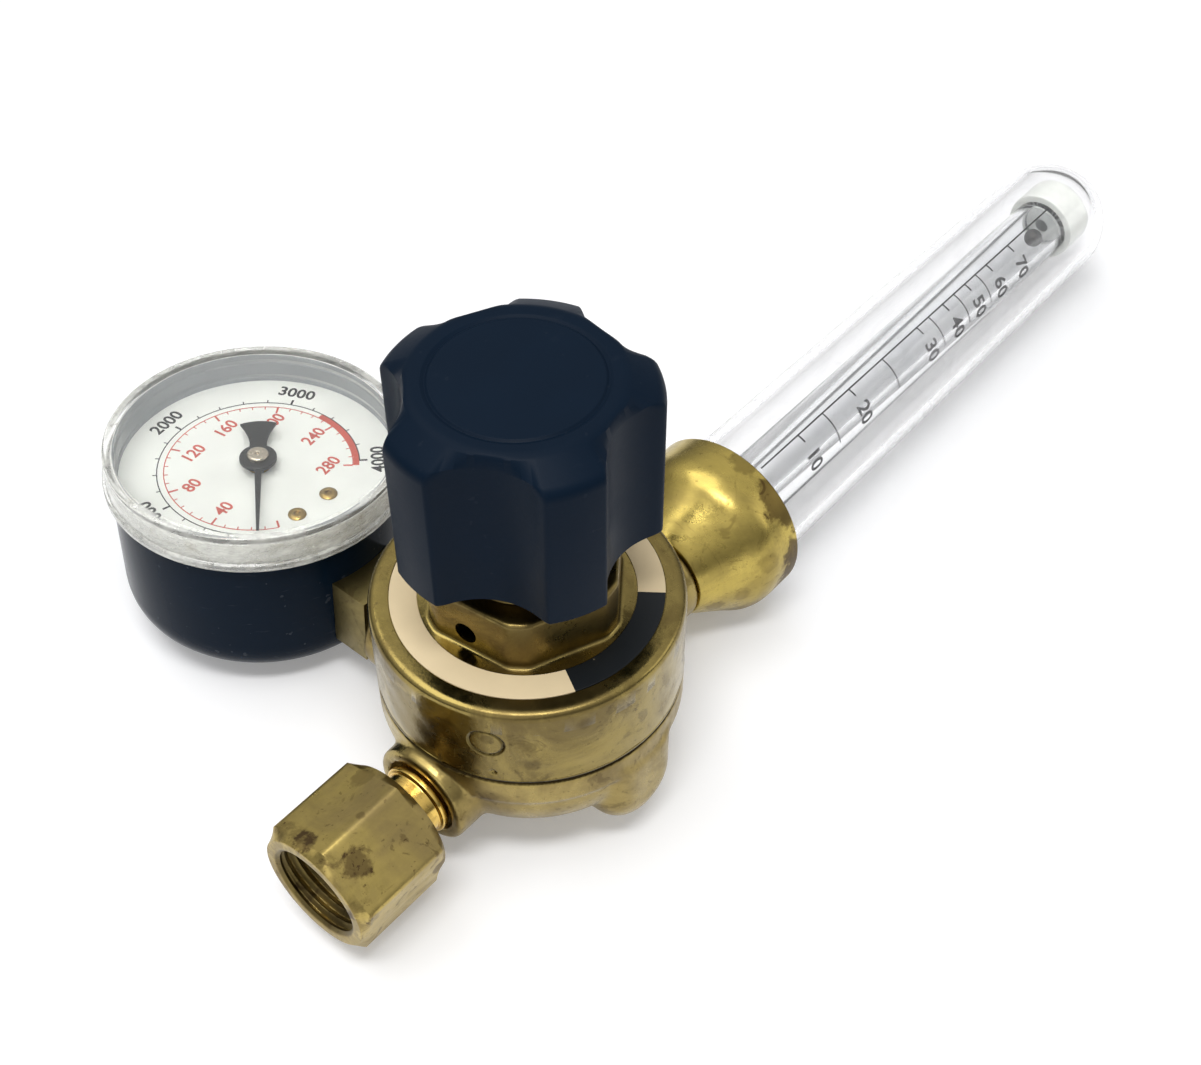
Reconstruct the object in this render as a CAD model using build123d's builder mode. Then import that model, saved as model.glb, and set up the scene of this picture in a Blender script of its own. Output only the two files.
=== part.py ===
import math
import os

from build123d import *

os.makedirs("parts", exist_ok=True)

# Millimetres, +Z up. The origin is the centre of the round rest face under the body.
# +X runs along the flow tube, -X to the inlet, +Y to the contents gauge.

# Fits and clearances
press_gap = 0.02
thread_gap = 0.05
slide_gap = 0.08
free_gap = 0.3

# Heights of the ports above the rest face
outlet_z = 17.8
inlet_z = 16.6

# Body casting
rest_r = 15.0
rest_h = 6.0
rest_edge = 1.0
bowl_low_r = 17.5
bowl_low_z = 7.0
bowl_mid_r = 24.4
bowl_mid_z = 12.5
flange_r = 27.5
flange_low_z = 20.6
flange_edge = 0.8
parting_z = 27.4
spigot_r = 24.4
spigot_h = 6.6
chamber_r = 20.0
chamber_floor_z = 29.2
lobe_start = 8.0
lobe_top_drop = 1.2
lobe_edge = 0.8
inlet_lobe_r = 9.8
inlet_proud = 2.0
gauge_lobe_r = 9.8
gauge_proud = 4.0
blank_r = 8.8
blank_z = 13.2
blank_round = 5.5
blank_proud = 0.3
outlet_boss_r = 9.8
outlet_boss_len = 9.9
outlet_boss_edge = 0.7

# Valve in the middle of the body
valve_bore_r = 5.0
valve_floor_z = 8.0
nozzle_thread_r = 6.8
nozzle_low_z = 19.5
nozzle_top_z = 30.6
nozzle_hex_flats = 11.0
nozzle_hex_h = 2.6
orifice_r = 1.5
poppet_r = 3.4
poppet_low_z = 12.2
poppet_seat_r = 2.4
poppet_seat_h = 0.8
pin_r = 0.9
poppet_spring_r = 3.1
poppet_wire = 0.7
poppet_turns = 4

# Gas passages
inlet_bore_r = 2.0
low_bore_r = 1.8
low_bore_x = 17.5
gauge_bore_r = 1.6

# Inlet nipple and nut
nipple_thread_r = 6.5
nipple_thread_len = 11.0
nipple_r = 6.1
nipple_collar_r = 6.9
nipple_collar_w = 1.3
counterbore_r = 7.4
counterbore_deep = 2.2
nut_stand = 5.4
nut_len = 20.1
nut_flats = 23.0
nut_corner_angle = 42.6
nut_web = 5.0
nut_chamfer = 1.7
nut_bore_r = 8.9
nut_lead_in = 0.8
nose_flange_r = 8.0
nose_flange_w = 2.6
nose_len = 5.2
nose_r = 5.4
nose_end_r = 3.4
nipple_bore_r = 2.2
filter_r = 3.0
filter_len = 8.0

# Flow cup
cup_stub_r = 7.8
cup_stub_len = 8.0
cup_neck_r = 10.0
cup_sweep_x = 45.6
cup_sweep_r = 14.9
cup_sweep_mid_x = 40.4
cup_sweep_mid_r = 11.7
cup_round_mid_x = 48.4
cup_round_mid_r = 16.9
cup_full_x = 51.0
cup_r = 17.6
cup_rim_x = 58.7
cup_rim_edge = 0.6
cup_chamber_r = 11.4
cup_chamber_x = 43.6
cup_web_x = 39.8
tube_seat_x = 51.4
cup_bore_r = 2.4

# Outer cover tube with a round closed end
cover_r = 14.0
cover_end_r = 13.65
cover_wall = 2.0
cover_centre_x = 183.5
cover_seal_x = 54.4
cover_seal_wire = 1.0

# Metering tube, ball and stops
meter_r = 6.8
meter_start_x = 40.0
meter_end_x = 180.0
bore_low_r = 2.7
bore_high_r = 4.3
ball_r = 2.15
ball_x = 176.0
bottom_stop_x = 59.5
stop_wall = 0.7
stop_shelf = 0.6
top_cap_r = 8.2
top_cap_len = 9.0
top_cap_edge = 1.5
top_vent_r = 1.6

# Outlet fitting on the hidden side of the cup
outlet_x = 47.2
outlet_stub_r = 4.0
outlet_stub_y = 12.4
outlet_shoulder_y = 17.7
outlet_hex_flats = 19.0
outlet_hex_end = 34.0
outlet_hex_chamfer = 1.2
outlet_port_r = 7.5
outlet_lead_in = 0.7
outlet_port_deep = 11.0
outlet_seat_deep = 3.0
outlet_bore_r = 2.2

# Bonnet
bonnet_r = 27.5
bonnet_base_gap = 0.35
bonnet_base_edge = 0.5
bonnet_top_z = 46.0
bonnet_round = 4.0
label_outer_r = 23.7
label_inner_r = 18.9
label_t = 0.3
label_sink = 0.2
hex_flats = 31.8
hex_turned_r = 17.4
hex_h = 10.6
hex_corner_angle = -142.55
hex_root = 1.2
hex_top_chamfer = 0.8
neck_r = 12.6
neck_h = 12.9
neck_edge = 0.8
skirt_thread_r = 24.5
clamp_z = 35.2
clear_r = 20.0
clear_z = 38.2
spring_room_r = 10.2
spring_room_z = 63.0
vent_r = 2.1
vent_z = 49.4
vent_offset = 1.3
screw_r = 4.75

# Diaphragm stack
diaphragm_r = 24.2
diaphragm_t = 1.0
slip_inner_r = 20.6
plate_r = 15.5
plate_t = 1.8
plate_boss_r = 6.6
plate_boss_h = 1.2
foot_r = 6.0
foot_t = 1.2
button_r = 9.4
button_t = 2.6
button_boss_r = 6.6
button_boss_h = 1.2
spring_r = 8.3
spring_wire = 2.0
spring_turns = 4.5
screw_tip_z = 61.0

# Adjusting knob
knob_stand = 6.3
knob_h = 31.7
knob_r = 22.8
knob_flat_r = 16.8
knob_slope_h = 3.3
knob_lands = 5
knob_land_angle = -115.55
flute_r = 12.8
flute_depth = 5.3
knob_edge = 0.7
knob_ring_r = 14.1
knob_ring_w = 0.5
knob_ring_deep = 0.4
knob_wall_r = 14.6
knob_roof_t = 10.6
knob_boss_r = 8.4
knob_boss_h = 8.8
insert_flats = 10.0
insert_h = 9.0
insert_cover = 7.6

# Contents gauge
gauge_x = -3.0
gauge_turn = 5.0
gauge_stand = 9.5
gauge_case_r = 28.2
gauge_case_wall = 0.9
gauge_back_z = 2.4
gauge_back_round = 6.5
gauge_rim_z = 33.2
relief_r = 3.0
relief_lip = 0.8
dial_z = 30.9
dial_gap = 0.3
dial_t = 0.5
dial_hole_r = 2.2
spacer_wall = 0.5
lens_wall = 1.5
lens_flange_w = 0.7
lens_flange_z = 32.4
lens_flange_t = 1.5
lens_top_z = 40.0
lens_t = 2.2
lens_edge = 0.7
lens_skirt_gap = 0.15
socket_w = 14.2
socket_h = 15.0
socket_gap = 1.9
socket_stem_r = 6.5
socket_stem_len = 9.4
socket_inside_h = 9.6
bourdon_inset = 9.0
bourdon_w = 6.0
bourdon_t = 2.2
bourdon_start = -83.0
bourdon_sweep = 262.0
bourdon_z = 16.6
bourdon_wall = 0.4
bourdon_root = 5.0
movement_low_z = 21.6
movement_top_z = 28.6
movement_plate_t = 1.0
movement_r = 11.0
movement_tab_w = 4.6
movement_tab_x = -0.3
movement_tab_reach = 4.0
movement_gap = 0.9
pillar_angles = (-45.0, 54.0, 216.0)
pillar_r = 1.3
pillar_ring_r = 9.3
spindle_r = 0.8
spindle_head_r = 1.5
pinion_r = 0.9
pinion_h = 1.6
sector_r = 7.3
sector_half = 20.0
sector_rest = -16.0
sector_direction = 135.0
sector_tail = 4.5
link_w = 1.8
link_t = 0.6
sector_pivot_r = 0.7
sector_z = 25.6
sector_t = 0.9
rivet_r = 1.35
rivet_shank_r = 0.9
rivet_inset = 3.6
rivet_half_gap = 4.0
rivet_mid_x = -0.3
rivet_sink = 2.5
rivet_head_h = 0.55
pointer_z = 33.2
pointer_t = 0.5
pointer_len = 20.2
pointer_tip_w = 0.5
pointer_root_w = 1.5
pointer_waist = 4.4
pointer_waist_w = 3.3
pointer_tail = 10.9
pointer_tail_w = 7.1
pointer_disc_r = 3.6
pointer_angle = -132.0
cap_r = 2.1
cap_h = 1.1


def along(points, axis_z):
    """Points (x, radius) about a level axis at height axis_z, as (x, z)."""
    return [(x, axis_z + r) for x, r in points]


# Ends of the four lobes, and of the pieces that stand on them
inlet_face = flange_r + inlet_proud
gauge_face = flange_r + gauge_proud
blank_end = flange_r + blank_proud
outlet_boss_end = flange_r + outlet_boss_len
stub_end = outlet_boss_end - cup_stub_len
nut_back = inlet_face + nut_stand
nut_front = nut_back + nut_len
gauge_y = gauge_face + gauge_stand + gauge_case_r
socket_near_y = gauge_face + socket_gap
socket_far_y = gauge_y - movement_r - movement_gap

# Heights of the spigot, the bonnet's steps and the knob
spigot_z = parting_z + spigot_h
hex_top_z = bonnet_top_z + hex_h
neck_top_z = hex_top_z + neck_h
knob_bottom_z = hex_top_z + knob_stand
knob_top_z = knob_bottom_z + knob_h
knob_roof_z = knob_top_z - knob_roof_t
insert_z = knob_top_z - insert_cover - insert_h

inlet_axis = Axis((0, 0, inlet_z), (1, 0, 0))
outlet_axis = Axis((0, 0, outlet_z), (1, 0, 0))
fitting_axis = Axis((outlet_x, 0, outlet_z), (0, 1, 0))
stem_axis = Axis((gauge_x, 0, inlet_z), (0, 1, 0))
gauge_axis = Axis((gauge_x, gauge_y, 0), (0, 0, 1))
gauge_plane = Plane((gauge_x, gauge_y, 0))

# Blank lobe of the body, on -Y, with a rounded end
with BuildPart() as blank:
    with BuildSketch(Plane.XZ.offset(blank_end)):
        with Locations((0, blank_z)):
            Circle(blank_r)
            Rectangle(
                2 * blank_r,
                parting_z - lobe_top_drop - blank_z,
                align=(Align.CENTER, Align.MIN),
            )
    extrude(amount=lobe_start - blank_end)
    fillet(blank.edges().group_by(Axis.Y)[0], blank_round)

# Inlet lobe, on -X, with a machined end
with BuildPart() as inlet_lobe:
    with BuildSketch(Plane.YZ.offset(-inlet_face)):
        with Locations((0, inlet_z)):
            Circle(inlet_lobe_r)
    extrude(amount=inlet_face - lobe_start)
    fillet(inlet_lobe.edges().group_by(Axis.X)[0], lobe_edge)

# Gauge lobe, on +Y
with BuildPart() as gauge_lobe:
    with BuildSketch(Plane.XZ.offset(-gauge_face)):
        with Locations((gauge_x, inlet_z)):
            Circle(gauge_lobe_r)
    extrude(amount=gauge_face - lobe_start)
    fillet(gauge_lobe.edges().group_by(Axis.Y)[-1], lobe_edge)

# Body: one casting with four lobes at right angles
with BuildPart() as body:
    with BuildSketch(Plane.XZ):
        with BuildLine():
            Polyline(
                (0, 0),
                (rest_r - rest_edge, 0),
                (rest_r, rest_edge),
                (rest_r, rest_h),
                (bowl_low_r, bowl_low_z),
            )
            ThreePointArc(
                (bowl_low_r, bowl_low_z),
                (bowl_mid_r, bowl_mid_z),
                (flange_r - flange_edge, flange_low_z),
            )
            Polyline(
                (flange_r - flange_edge, flange_low_z),
                (flange_r, flange_low_z + flange_edge),
                (flange_r, parting_z),
                (spigot_r, parting_z),
                (spigot_r, spigot_z),
                (0, spigot_z),
                (0, 0),
            )
        make_face()
    revolve(axis=Axis.Z)
    # Lobes
    add(blank.part)
    add(inlet_lobe.part)
    add(gauge_lobe.part)
    # Outlet boss, on +X
    with BuildSketch(Plane.XZ):
        with BuildLine():
            Polyline(
                *along(
                    [
                        (lobe_start, 0),
                        (lobe_start, outlet_boss_r),
                        (outlet_boss_end - outlet_boss_edge, outlet_boss_r),
                        (outlet_boss_end, outlet_boss_r - outlet_boss_edge),
                        (outlet_boss_end, 0),
                    ],
                    outlet_z,
                ),
                close=True,
            )
        make_face()
    revolve(axis=outlet_axis)
    # Diaphragm chamber, nozzle thread and valve bore
    with BuildSketch(Plane.XZ):
        with BuildLine():
            Polyline(
                (0, valve_floor_z),
                (valve_bore_r, valve_floor_z),
                (valve_bore_r, nozzle_low_z),
                (nozzle_thread_r + thread_gap, nozzle_low_z),
                (nozzle_thread_r + thread_gap, chamber_floor_z),
                (chamber_r, chamber_floor_z),
                (chamber_r, spigot_z),
                (0, spigot_z),
                close=True,
            )
        make_face()
    revolve(axis=Axis.Z, mode=Mode.SUBTRACT)
    # Inlet port with its counterbore, and the high pressure passage
    with BuildSketch(Plane.XZ):
        with BuildLine():
            Polyline(
                *along(
                    [
                        (-inlet_face, 0),
                        (-inlet_face, counterbore_r),
                        (counterbore_deep - inlet_face, counterbore_r),
                        (counterbore_deep - inlet_face, nipple_thread_r + thread_gap),
                        (nipple_thread_len - inlet_face, nipple_thread_r + thread_gap),
                        (nipple_thread_len - inlet_face, inlet_bore_r),
                        (0, inlet_bore_r),
                        (0, 0),
                    ],
                    inlet_z,
                ),
                close=True,
            )
        make_face()
    revolve(axis=inlet_axis, mode=Mode.SUBTRACT)
    # Gauge port
    with BuildSketch(Plane.XZ.offset(-gauge_face)):
        with Locations((gauge_x, inlet_z)):
            Circle(socket_stem_r + thread_gap)
    extrude(amount=socket_stem_len, mode=Mode.SUBTRACT)
    with BuildSketch(Plane.XZ.offset(-gauge_face)):
        with Locations((gauge_x, inlet_z)):
            Circle(gauge_bore_r)
    extrude(amount=gauge_face, mode=Mode.SUBTRACT)
    # Outlet port and the low pressure passage
    with BuildSketch(Plane.YZ.offset(outlet_boss_end)):
        with Locations((0, outlet_z)):
            Circle(cup_stub_r + thread_gap)
    extrude(amount=-cup_stub_len, mode=Mode.SUBTRACT)
    with BuildSketch(Plane.YZ.offset(outlet_boss_end)):
        with Locations((0, outlet_z)):
            Circle(low_bore_r)
    extrude(amount=low_bore_x - low_bore_r - outlet_boss_end, mode=Mode.SUBTRACT)
    with BuildSketch(Plane.XY.offset(outlet_z)):
        with Locations((low_bore_x, 0)):
            Circle(low_bore_r)
    extrude(amount=chamber_floor_z - outlet_z, mode=Mode.SUBTRACT)

# Nozzle: threaded seat with a hexagon, pressed down into the valve bore
with BuildPart() as nozzle:
    with BuildSketch(Plane.XY.offset(nozzle_low_z)):
        Circle(nozzle_thread_r)
    extrude(amount=nozzle_top_z - nozzle_hex_h - nozzle_low_z)
    with BuildSketch(Plane.XY.offset(nozzle_top_z - nozzle_hex_h)):
        RegularPolygon(nozzle_hex_flats / 2, 6, major_radius=False)
    extrude(amount=nozzle_hex_h)
    with BuildSketch(Plane.XY.offset(nozzle_low_z)):
        Circle(orifice_r)
    extrude(amount=nozzle_top_z - nozzle_low_z, mode=Mode.SUBTRACT)

# Valve poppet with its long pin
poppet_top = nozzle_low_z - slide_gap
foot_z = spigot_z - foot_t
with BuildPart() as poppet:
    with BuildSketch(Plane.XY.offset(poppet_low_z)):
        Circle(poppet_r)
    extrude(amount=poppet_top - poppet_seat_h - poppet_low_z)
    with BuildSketch(Plane.XY.offset(poppet_top - poppet_seat_h)):
        Circle(poppet_seat_r)
    extrude(amount=poppet_seat_h)
    with BuildSketch(Plane.XY.offset(poppet_top)):
        Circle(pin_r)
    extrude(amount=foot_z - slide_gap - poppet_top)

# Return spring under the poppet
poppet_coil_h = poppet_low_z - valve_floor_z - poppet_wire
with BuildPart() as poppet_spring:
    with BuildLine() as poppet_coil:
        Helix(
            poppet_coil_h / poppet_turns,
            poppet_coil_h,
            poppet_spring_r - poppet_wire / 2,
            center=(0, 0, valve_floor_z + poppet_wire / 2),
        )
    with BuildSketch(Plane(poppet_coil.line @ 0, z_dir=poppet_coil.line % 0)):
        Circle(poppet_wire / 2)
    sweep()

# Diaphragm, with the slip ring under the bonnet
with BuildPart() as diaphragm:
    with BuildSketch(Plane.XY.offset(spigot_z)):
        Circle(diaphragm_r)
    extrude(amount=diaphragm_t)

with BuildPart() as slip_ring:
    with BuildSketch(Plane.XY.offset(spigot_z + diaphragm_t)):
        Circle(diaphragm_r)
        Circle(slip_inner_r, mode=Mode.SUBTRACT)
    extrude(amount=clamp_z - spigot_z - diaphragm_t)

# Foot plate under the diaphragm and spring plate above it
with BuildPart() as foot_plate:
    with BuildSketch(Plane.XY.offset(foot_z)):
        Circle(foot_r)
    extrude(amount=foot_t)

plate_z = spigot_z + diaphragm_t
with BuildPart() as spring_plate:
    with BuildSketch(Plane.XY.offset(plate_z)):
        Circle(plate_r)
    extrude(amount=plate_t)
    with BuildSketch(Plane.XY.offset(plate_z + plate_t)):
        Circle(plate_boss_r)
    extrude(amount=plate_boss_h)

# Spring button under the adjusting screw
button_z = screw_tip_z - button_t
with BuildPart() as spring_button:
    with BuildSketch(Plane.XY.offset(button_z)):
        Circle(button_r)
    extrude(amount=button_t)
    with BuildSketch(Plane.XY.offset(button_z - button_boss_h)):
        Circle(button_boss_r)
    extrude(amount=button_boss_h)

# Range spring
spring_z = plate_z + plate_t
coil_h = button_z - spring_z - spring_wire
with BuildPart() as range_spring:
    with BuildLine() as range_coil:
        Helix(
            coil_h / spring_turns,
            coil_h,
            spring_r,
            center=(0, 0, spring_z + spring_wire / 2),
        )
    with BuildSketch(Plane(range_coil.line @ 0, z_dir=range_coil.line % 0)):
        Circle(spring_wire / 2)
    sweep()

# Bonnet: forged cap with a hexagon, screwed over the spigot
bonnet_z = parting_z + bonnet_base_gap
round_mid = bonnet_round * math.sqrt(0.5)
vent_angle = math.radians(hex_corner_angle - 30)
vent_out = (math.cos(vent_angle), math.sin(vent_angle), 0)
vent_along = (-math.sin(vent_angle), math.cos(vent_angle), 0)
with BuildPart() as bonnet:
    with BuildSketch(Plane.XZ):
        with BuildLine():
            Polyline(
                (0, bonnet_z),
                (bonnet_r - bonnet_base_edge, bonnet_z),
                (bonnet_r, bonnet_z + bonnet_base_edge),
                (bonnet_r, bonnet_top_z - bonnet_round),
            )
            ThreePointArc(
                (bonnet_r, bonnet_top_z - bonnet_round),
                (bonnet_r - bonnet_round + round_mid, bonnet_top_z - bonnet_round + round_mid),
                (bonnet_r - bonnet_round, bonnet_top_z),
            )
            Polyline(
                (bonnet_r - bonnet_round, bonnet_top_z),
                (0, bonnet_top_z),
                (0, bonnet_z),
            )
        make_face()
    revolve(axis=Axis.Z)
    with BuildSketch(Plane.XY.offset(bonnet_top_z)):
        RegularPolygon(hex_flats / 2, 6, major_radius=False, rotation=hex_corner_angle)
        Circle(hex_turned_r, mode=Mode.INTERSECT)
    extrude(amount=hex_top_z - bonnet_top_z)
    fillet(bonnet.edges(Select.LAST).group_by(Axis.Z)[0], hex_root)
    chamfer(bonnet.faces().sort_by(Axis.Z)[-1].edges(), hex_top_chamfer)
    with BuildSketch(Plane.XY.offset(hex_top_z)):
        Circle(neck_r)
    extrude(amount=neck_top_z - hex_top_z)
    chamfer(bonnet.faces().sort_by(Axis.Z)[-1].edges(), neck_edge)
    with BuildSketch(Plane.XY.offset(bonnet_top_z - label_sink)):
        Circle(label_outer_r + slide_gap)
        Circle(label_inner_r - slide_gap, mode=Mode.SUBTRACT)
    extrude(amount=label_sink, mode=Mode.SUBTRACT)
    with BuildSketch(Plane.XZ):
        with BuildLine():
            Polyline(
                (0, bonnet_z),
                (skirt_thread_r, bonnet_z),
                (skirt_thread_r, clamp_z),
                (clear_r, clamp_z),
                (clear_r, clear_z),
                (spring_room_r, clear_z + free_gap),
                (spring_room_r, spring_room_z),
                (screw_r + thread_gap, spring_room_z),
                (screw_r + thread_gap, neck_top_z),
                (0, neck_top_z),
                close=True,
            )
        make_face()
    revolve(axis=Axis.Z, mode=Mode.SUBTRACT)
    with BuildSketch(Plane((0, 0, vent_z), x_dir=vent_along, z_dir=vent_out)):
        with Locations((-vent_offset, 0)):
            Circle(vent_r)
    extrude(amount=bonnet_r, mode=Mode.SUBTRACT)

# Printed ring on the bonnet
with BuildPart() as label_ring:
    with BuildSketch(Plane.XY.offset(bonnet_top_z - label_sink)):
        Circle(label_outer_r)
        Circle(label_inner_r, mode=Mode.SUBTRACT)
    extrude(amount=label_t)

# Adjusting screw, its hexagon held in the knob
with BuildPart() as adjusting_screw:
    with BuildSketch(Plane.XY.offset(screw_tip_z)):
        Circle(screw_r)
    extrude(amount=insert_z - screw_tip_z)
    with BuildSketch(Plane.XY.offset(insert_z)):
        RegularPolygon(insert_flats / 2, 6, major_radius=False)
    extrude(amount=insert_h)

# Adjusting knob with five lands
with BuildPart() as knob:
    with BuildSketch(Plane.XZ):
        with BuildLine():
            Polyline(
                (0, knob_top_z),
                (knob_flat_r, knob_top_z),
                (knob_r, knob_top_z - knob_slope_h),
                (knob_r, knob_bottom_z),
                (0, knob_bottom_z),
                close=True,
            )
        make_face()
    revolve(axis=Axis.Z)
    with BuildSketch(Plane.XY.offset(knob_bottom_z)):
        with PolarLocations(
            knob_r - flute_depth + flute_r,
            knob_lands,
            start_angle=knob_land_angle + 180 / knob_lands,
        ):
            Circle(flute_r)
    extrude(amount=knob_top_z - knob_bottom_z, mode=Mode.SUBTRACT)
    fillet(knob.edges().filter_by(Axis.Z), knob_edge)
    with BuildSketch(Plane.XZ):
        with BuildLine():
            Polyline(
                (0, knob_bottom_z),
                (knob_wall_r, knob_bottom_z),
                (knob_wall_r, knob_roof_z),
                (knob_boss_r, knob_roof_z),
                (knob_boss_r, knob_roof_z - knob_boss_h),
                (screw_r + press_gap, knob_roof_z - knob_boss_h),
                (screw_r + press_gap, insert_z),
                (0, insert_z),
                close=True,
            )
        make_face()
    revolve(axis=Axis.Z, mode=Mode.SUBTRACT)
    with BuildSketch(Plane.XY.offset(insert_z)):
        RegularPolygon(insert_flats / 2 + press_gap, 6, major_radius=False)
    extrude(amount=insert_h + press_gap, mode=Mode.SUBTRACT)
    with BuildSketch(Plane.XY.offset(knob_top_z)):
        Circle(knob_ring_r + knob_ring_w / 2)
        Circle(knob_ring_r - knob_ring_w / 2, mode=Mode.SUBTRACT)
    extrude(amount=-knob_ring_deep, mode=Mode.SUBTRACT)

# Inlet nipple: threaded end, collar, flange held by the nut, and nose
nose_back = nut_back + nut_web + free_gap
nose_tip = nose_back + nose_flange_w + nose_len
with BuildPart() as inlet_nipple:
    with BuildSketch(Plane.XZ):
        with BuildLine():
            Polyline(
                *along(
                    [
                        (nipple_thread_len - inlet_face, 0),
                        (nipple_thread_len - inlet_face, nipple_thread_r),
                        (counterbore_deep - inlet_face, nipple_thread_r),
                        (counterbore_deep - inlet_face, nipple_r),
                        (-inlet_face, nipple_r),
                        (-inlet_face, nipple_collar_r),
                        (-inlet_face - nipple_collar_w, nipple_collar_r),
                        (-inlet_face - nipple_collar_w, nipple_r),
                        (-nose_back, nipple_r),
                        (-nose_back, nose_flange_r),
                        (-nose_back - nose_flange_w, nose_flange_r),
                        (-nose_back - nose_flange_w, nose_r),
                        (nose_r - nose_end_r - nose_tip, nose_r),
                        (-nose_tip, nose_end_r),
                        (-nose_tip, 0),
                    ],
                    inlet_z,
                ),
                close=True,
            )
        make_face()
    revolve(axis=inlet_axis)
    with BuildSketch(Plane.YZ.offset(-nose_tip)):
        with Locations((0, inlet_z)):
            Circle(nipple_bore_r)
    extrude(amount=nose_tip, mode=Mode.SUBTRACT)
    with BuildSketch(Plane.YZ.offset(nipple_thread_len - inlet_face)):
        with Locations((0, inlet_z)):
            Circle(filter_r + press_gap)
    extrude(amount=-filter_len, mode=Mode.SUBTRACT)

# Sintered filter inside the nipple
with BuildPart() as inlet_filter:
    with BuildSketch(Plane.YZ.offset(nipple_thread_len - inlet_face)):
        with Locations((0, inlet_z)):
            Circle(filter_r)
    extrude(amount=-filter_len)

# Inlet nut
nut_corner_r = nut_flats / math.sqrt(3)
nut_face_r = nut_corner_r - nut_chamfer
nut_slope = nut_chamfer * math.tan(math.radians(30))
with BuildPart() as inlet_nut:
    with BuildSketch(Plane.YZ.offset(-nut_front)):
        with Locations((0, inlet_z)):
            RegularPolygon(nut_flats / 2, 6, major_radius=False, rotation=nut_corner_angle)
    extrude(amount=nut_front - nut_back)
    with BuildSketch(Plane.XZ):
        with BuildLine():
            Polyline(
                *along(
                    [
                        (-nut_front, 0),
                        (-nut_front, nut_face_r),
                        (-nut_front + nut_slope, nut_corner_r),
                        (-nut_back - nut_slope, nut_corner_r),
                        (-nut_back, nut_face_r),
                        (-nut_back, 0),
                    ],
                    inlet_z,
                ),
                close=True,
            )
        make_face()
    revolve(axis=inlet_axis, mode=Mode.INTERSECT)
    with BuildSketch(Plane.XZ):
        with BuildLine():
            Polyline(
                *along(
                    [
                        (-nut_front, 0),
                        (-nut_front, nut_bore_r + nut_lead_in),
                        (nut_lead_in - nut_front, nut_bore_r),
                        (-nut_back - nut_web, nut_bore_r),
                        (-nut_back - nut_web, nipple_r + slide_gap),
                        (-nut_back, nipple_r + slide_gap),
                        (-nut_back, 0),
                    ],
                    inlet_z,
                ),
                close=True,
            )
        make_face()
    revolve(axis=inlet_axis, mode=Mode.SUBTRACT)

# Flow cup: bell between the body and the cover tube, with a side boss for the outlet
seal_r = cover_r + thread_gap + cover_seal_wire
side_port_y = math.sqrt(cup_chamber_r**2 - outlet_stub_r**2) - free_gap
with BuildPart() as flow_cup:
    with BuildSketch(Plane.XZ):
        with BuildLine():
            Polyline(
                *along(
                    [
                        (cup_sweep_x, 0),
                        (stub_end, 0),
                        (stub_end, cup_stub_r),
                        (outlet_boss_end, cup_stub_r),
                        (outlet_boss_end, cup_neck_r),
                    ],
                    outlet_z,
                )
            )
            ThreePointArc(
                *along(
                    [
                        (outlet_boss_end, cup_neck_r),
                        (cup_sweep_mid_x, cup_sweep_mid_r),
                        (cup_sweep_x, cup_sweep_r),
                    ],
                    outlet_z,
                )
            )
            ThreePointArc(
                *along(
                    [
                        (cup_sweep_x, cup_sweep_r),
                        (cup_round_mid_x, cup_round_mid_r),
                        (cup_full_x, cup_r),
                    ],
                    outlet_z,
                )
            )
            Polyline(
                *along(
                    [
                        (cup_full_x, cup_r),
                        (cup_rim_x - cup_rim_edge, cup_r),
                        (cup_rim_x, cup_r - cup_rim_edge),
                        (cup_rim_x, 0),
                        (cup_sweep_x, 0),
                    ],
                    outlet_z,
                )
            )
        make_face()
    revolve(axis=outlet_axis)
    with BuildSketch(Plane.XZ.offset(-outlet_shoulder_y)):
        with Locations((outlet_x, outlet_z)):
            Circle(outlet_hex_flats / 2)
    extrude(amount=outlet_shoulder_y)
    with BuildSketch(Plane.XZ):
        with BuildLine():
            Polyline(
                *along(
                    [
                        (stub_end, 0),
                        (stub_end, cup_bore_r),
                        (cup_web_x, cup_bore_r),
                        (cup_web_x, meter_r + press_gap),
                        (cup_chamber_x, meter_r + press_gap),
                        (cup_chamber_x, cup_chamber_r),
                        (tube_seat_x, cup_chamber_r),
                        (tube_seat_x, cover_r + thread_gap),
                        (cover_seal_x - cover_seal_wire, cover_r + thread_gap),
                        (cover_seal_x - cover_seal_wire, seal_r + cover_seal_wire),
                        (cover_seal_x + cover_seal_wire, seal_r + cover_seal_wire),
                        (cover_seal_x + cover_seal_wire, cover_r + thread_gap),
                        (cup_rim_x, cover_r + thread_gap),
                        (cup_rim_x, 0),
                    ],
                    outlet_z,
                ),
                close=True,
            )
        make_face()
    revolve(axis=outlet_axis, mode=Mode.SUBTRACT)
    with BuildSketch(Plane.XZ.offset(-outlet_shoulder_y)):
        with Locations((outlet_x, outlet_z)):
            Circle(outlet_stub_r + thread_gap)
    extrude(amount=outlet_shoulder_y - side_port_y, mode=Mode.SUBTRACT)

# Seal ring between cup and cover tube
with BuildPart() as cover_seal:
    with BuildSketch(Plane.XZ):
        with Locations((cover_seal_x, outlet_z + seal_r)):
            Circle(cover_seal_wire - press_gap)
    revolve(axis=outlet_axis)

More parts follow.
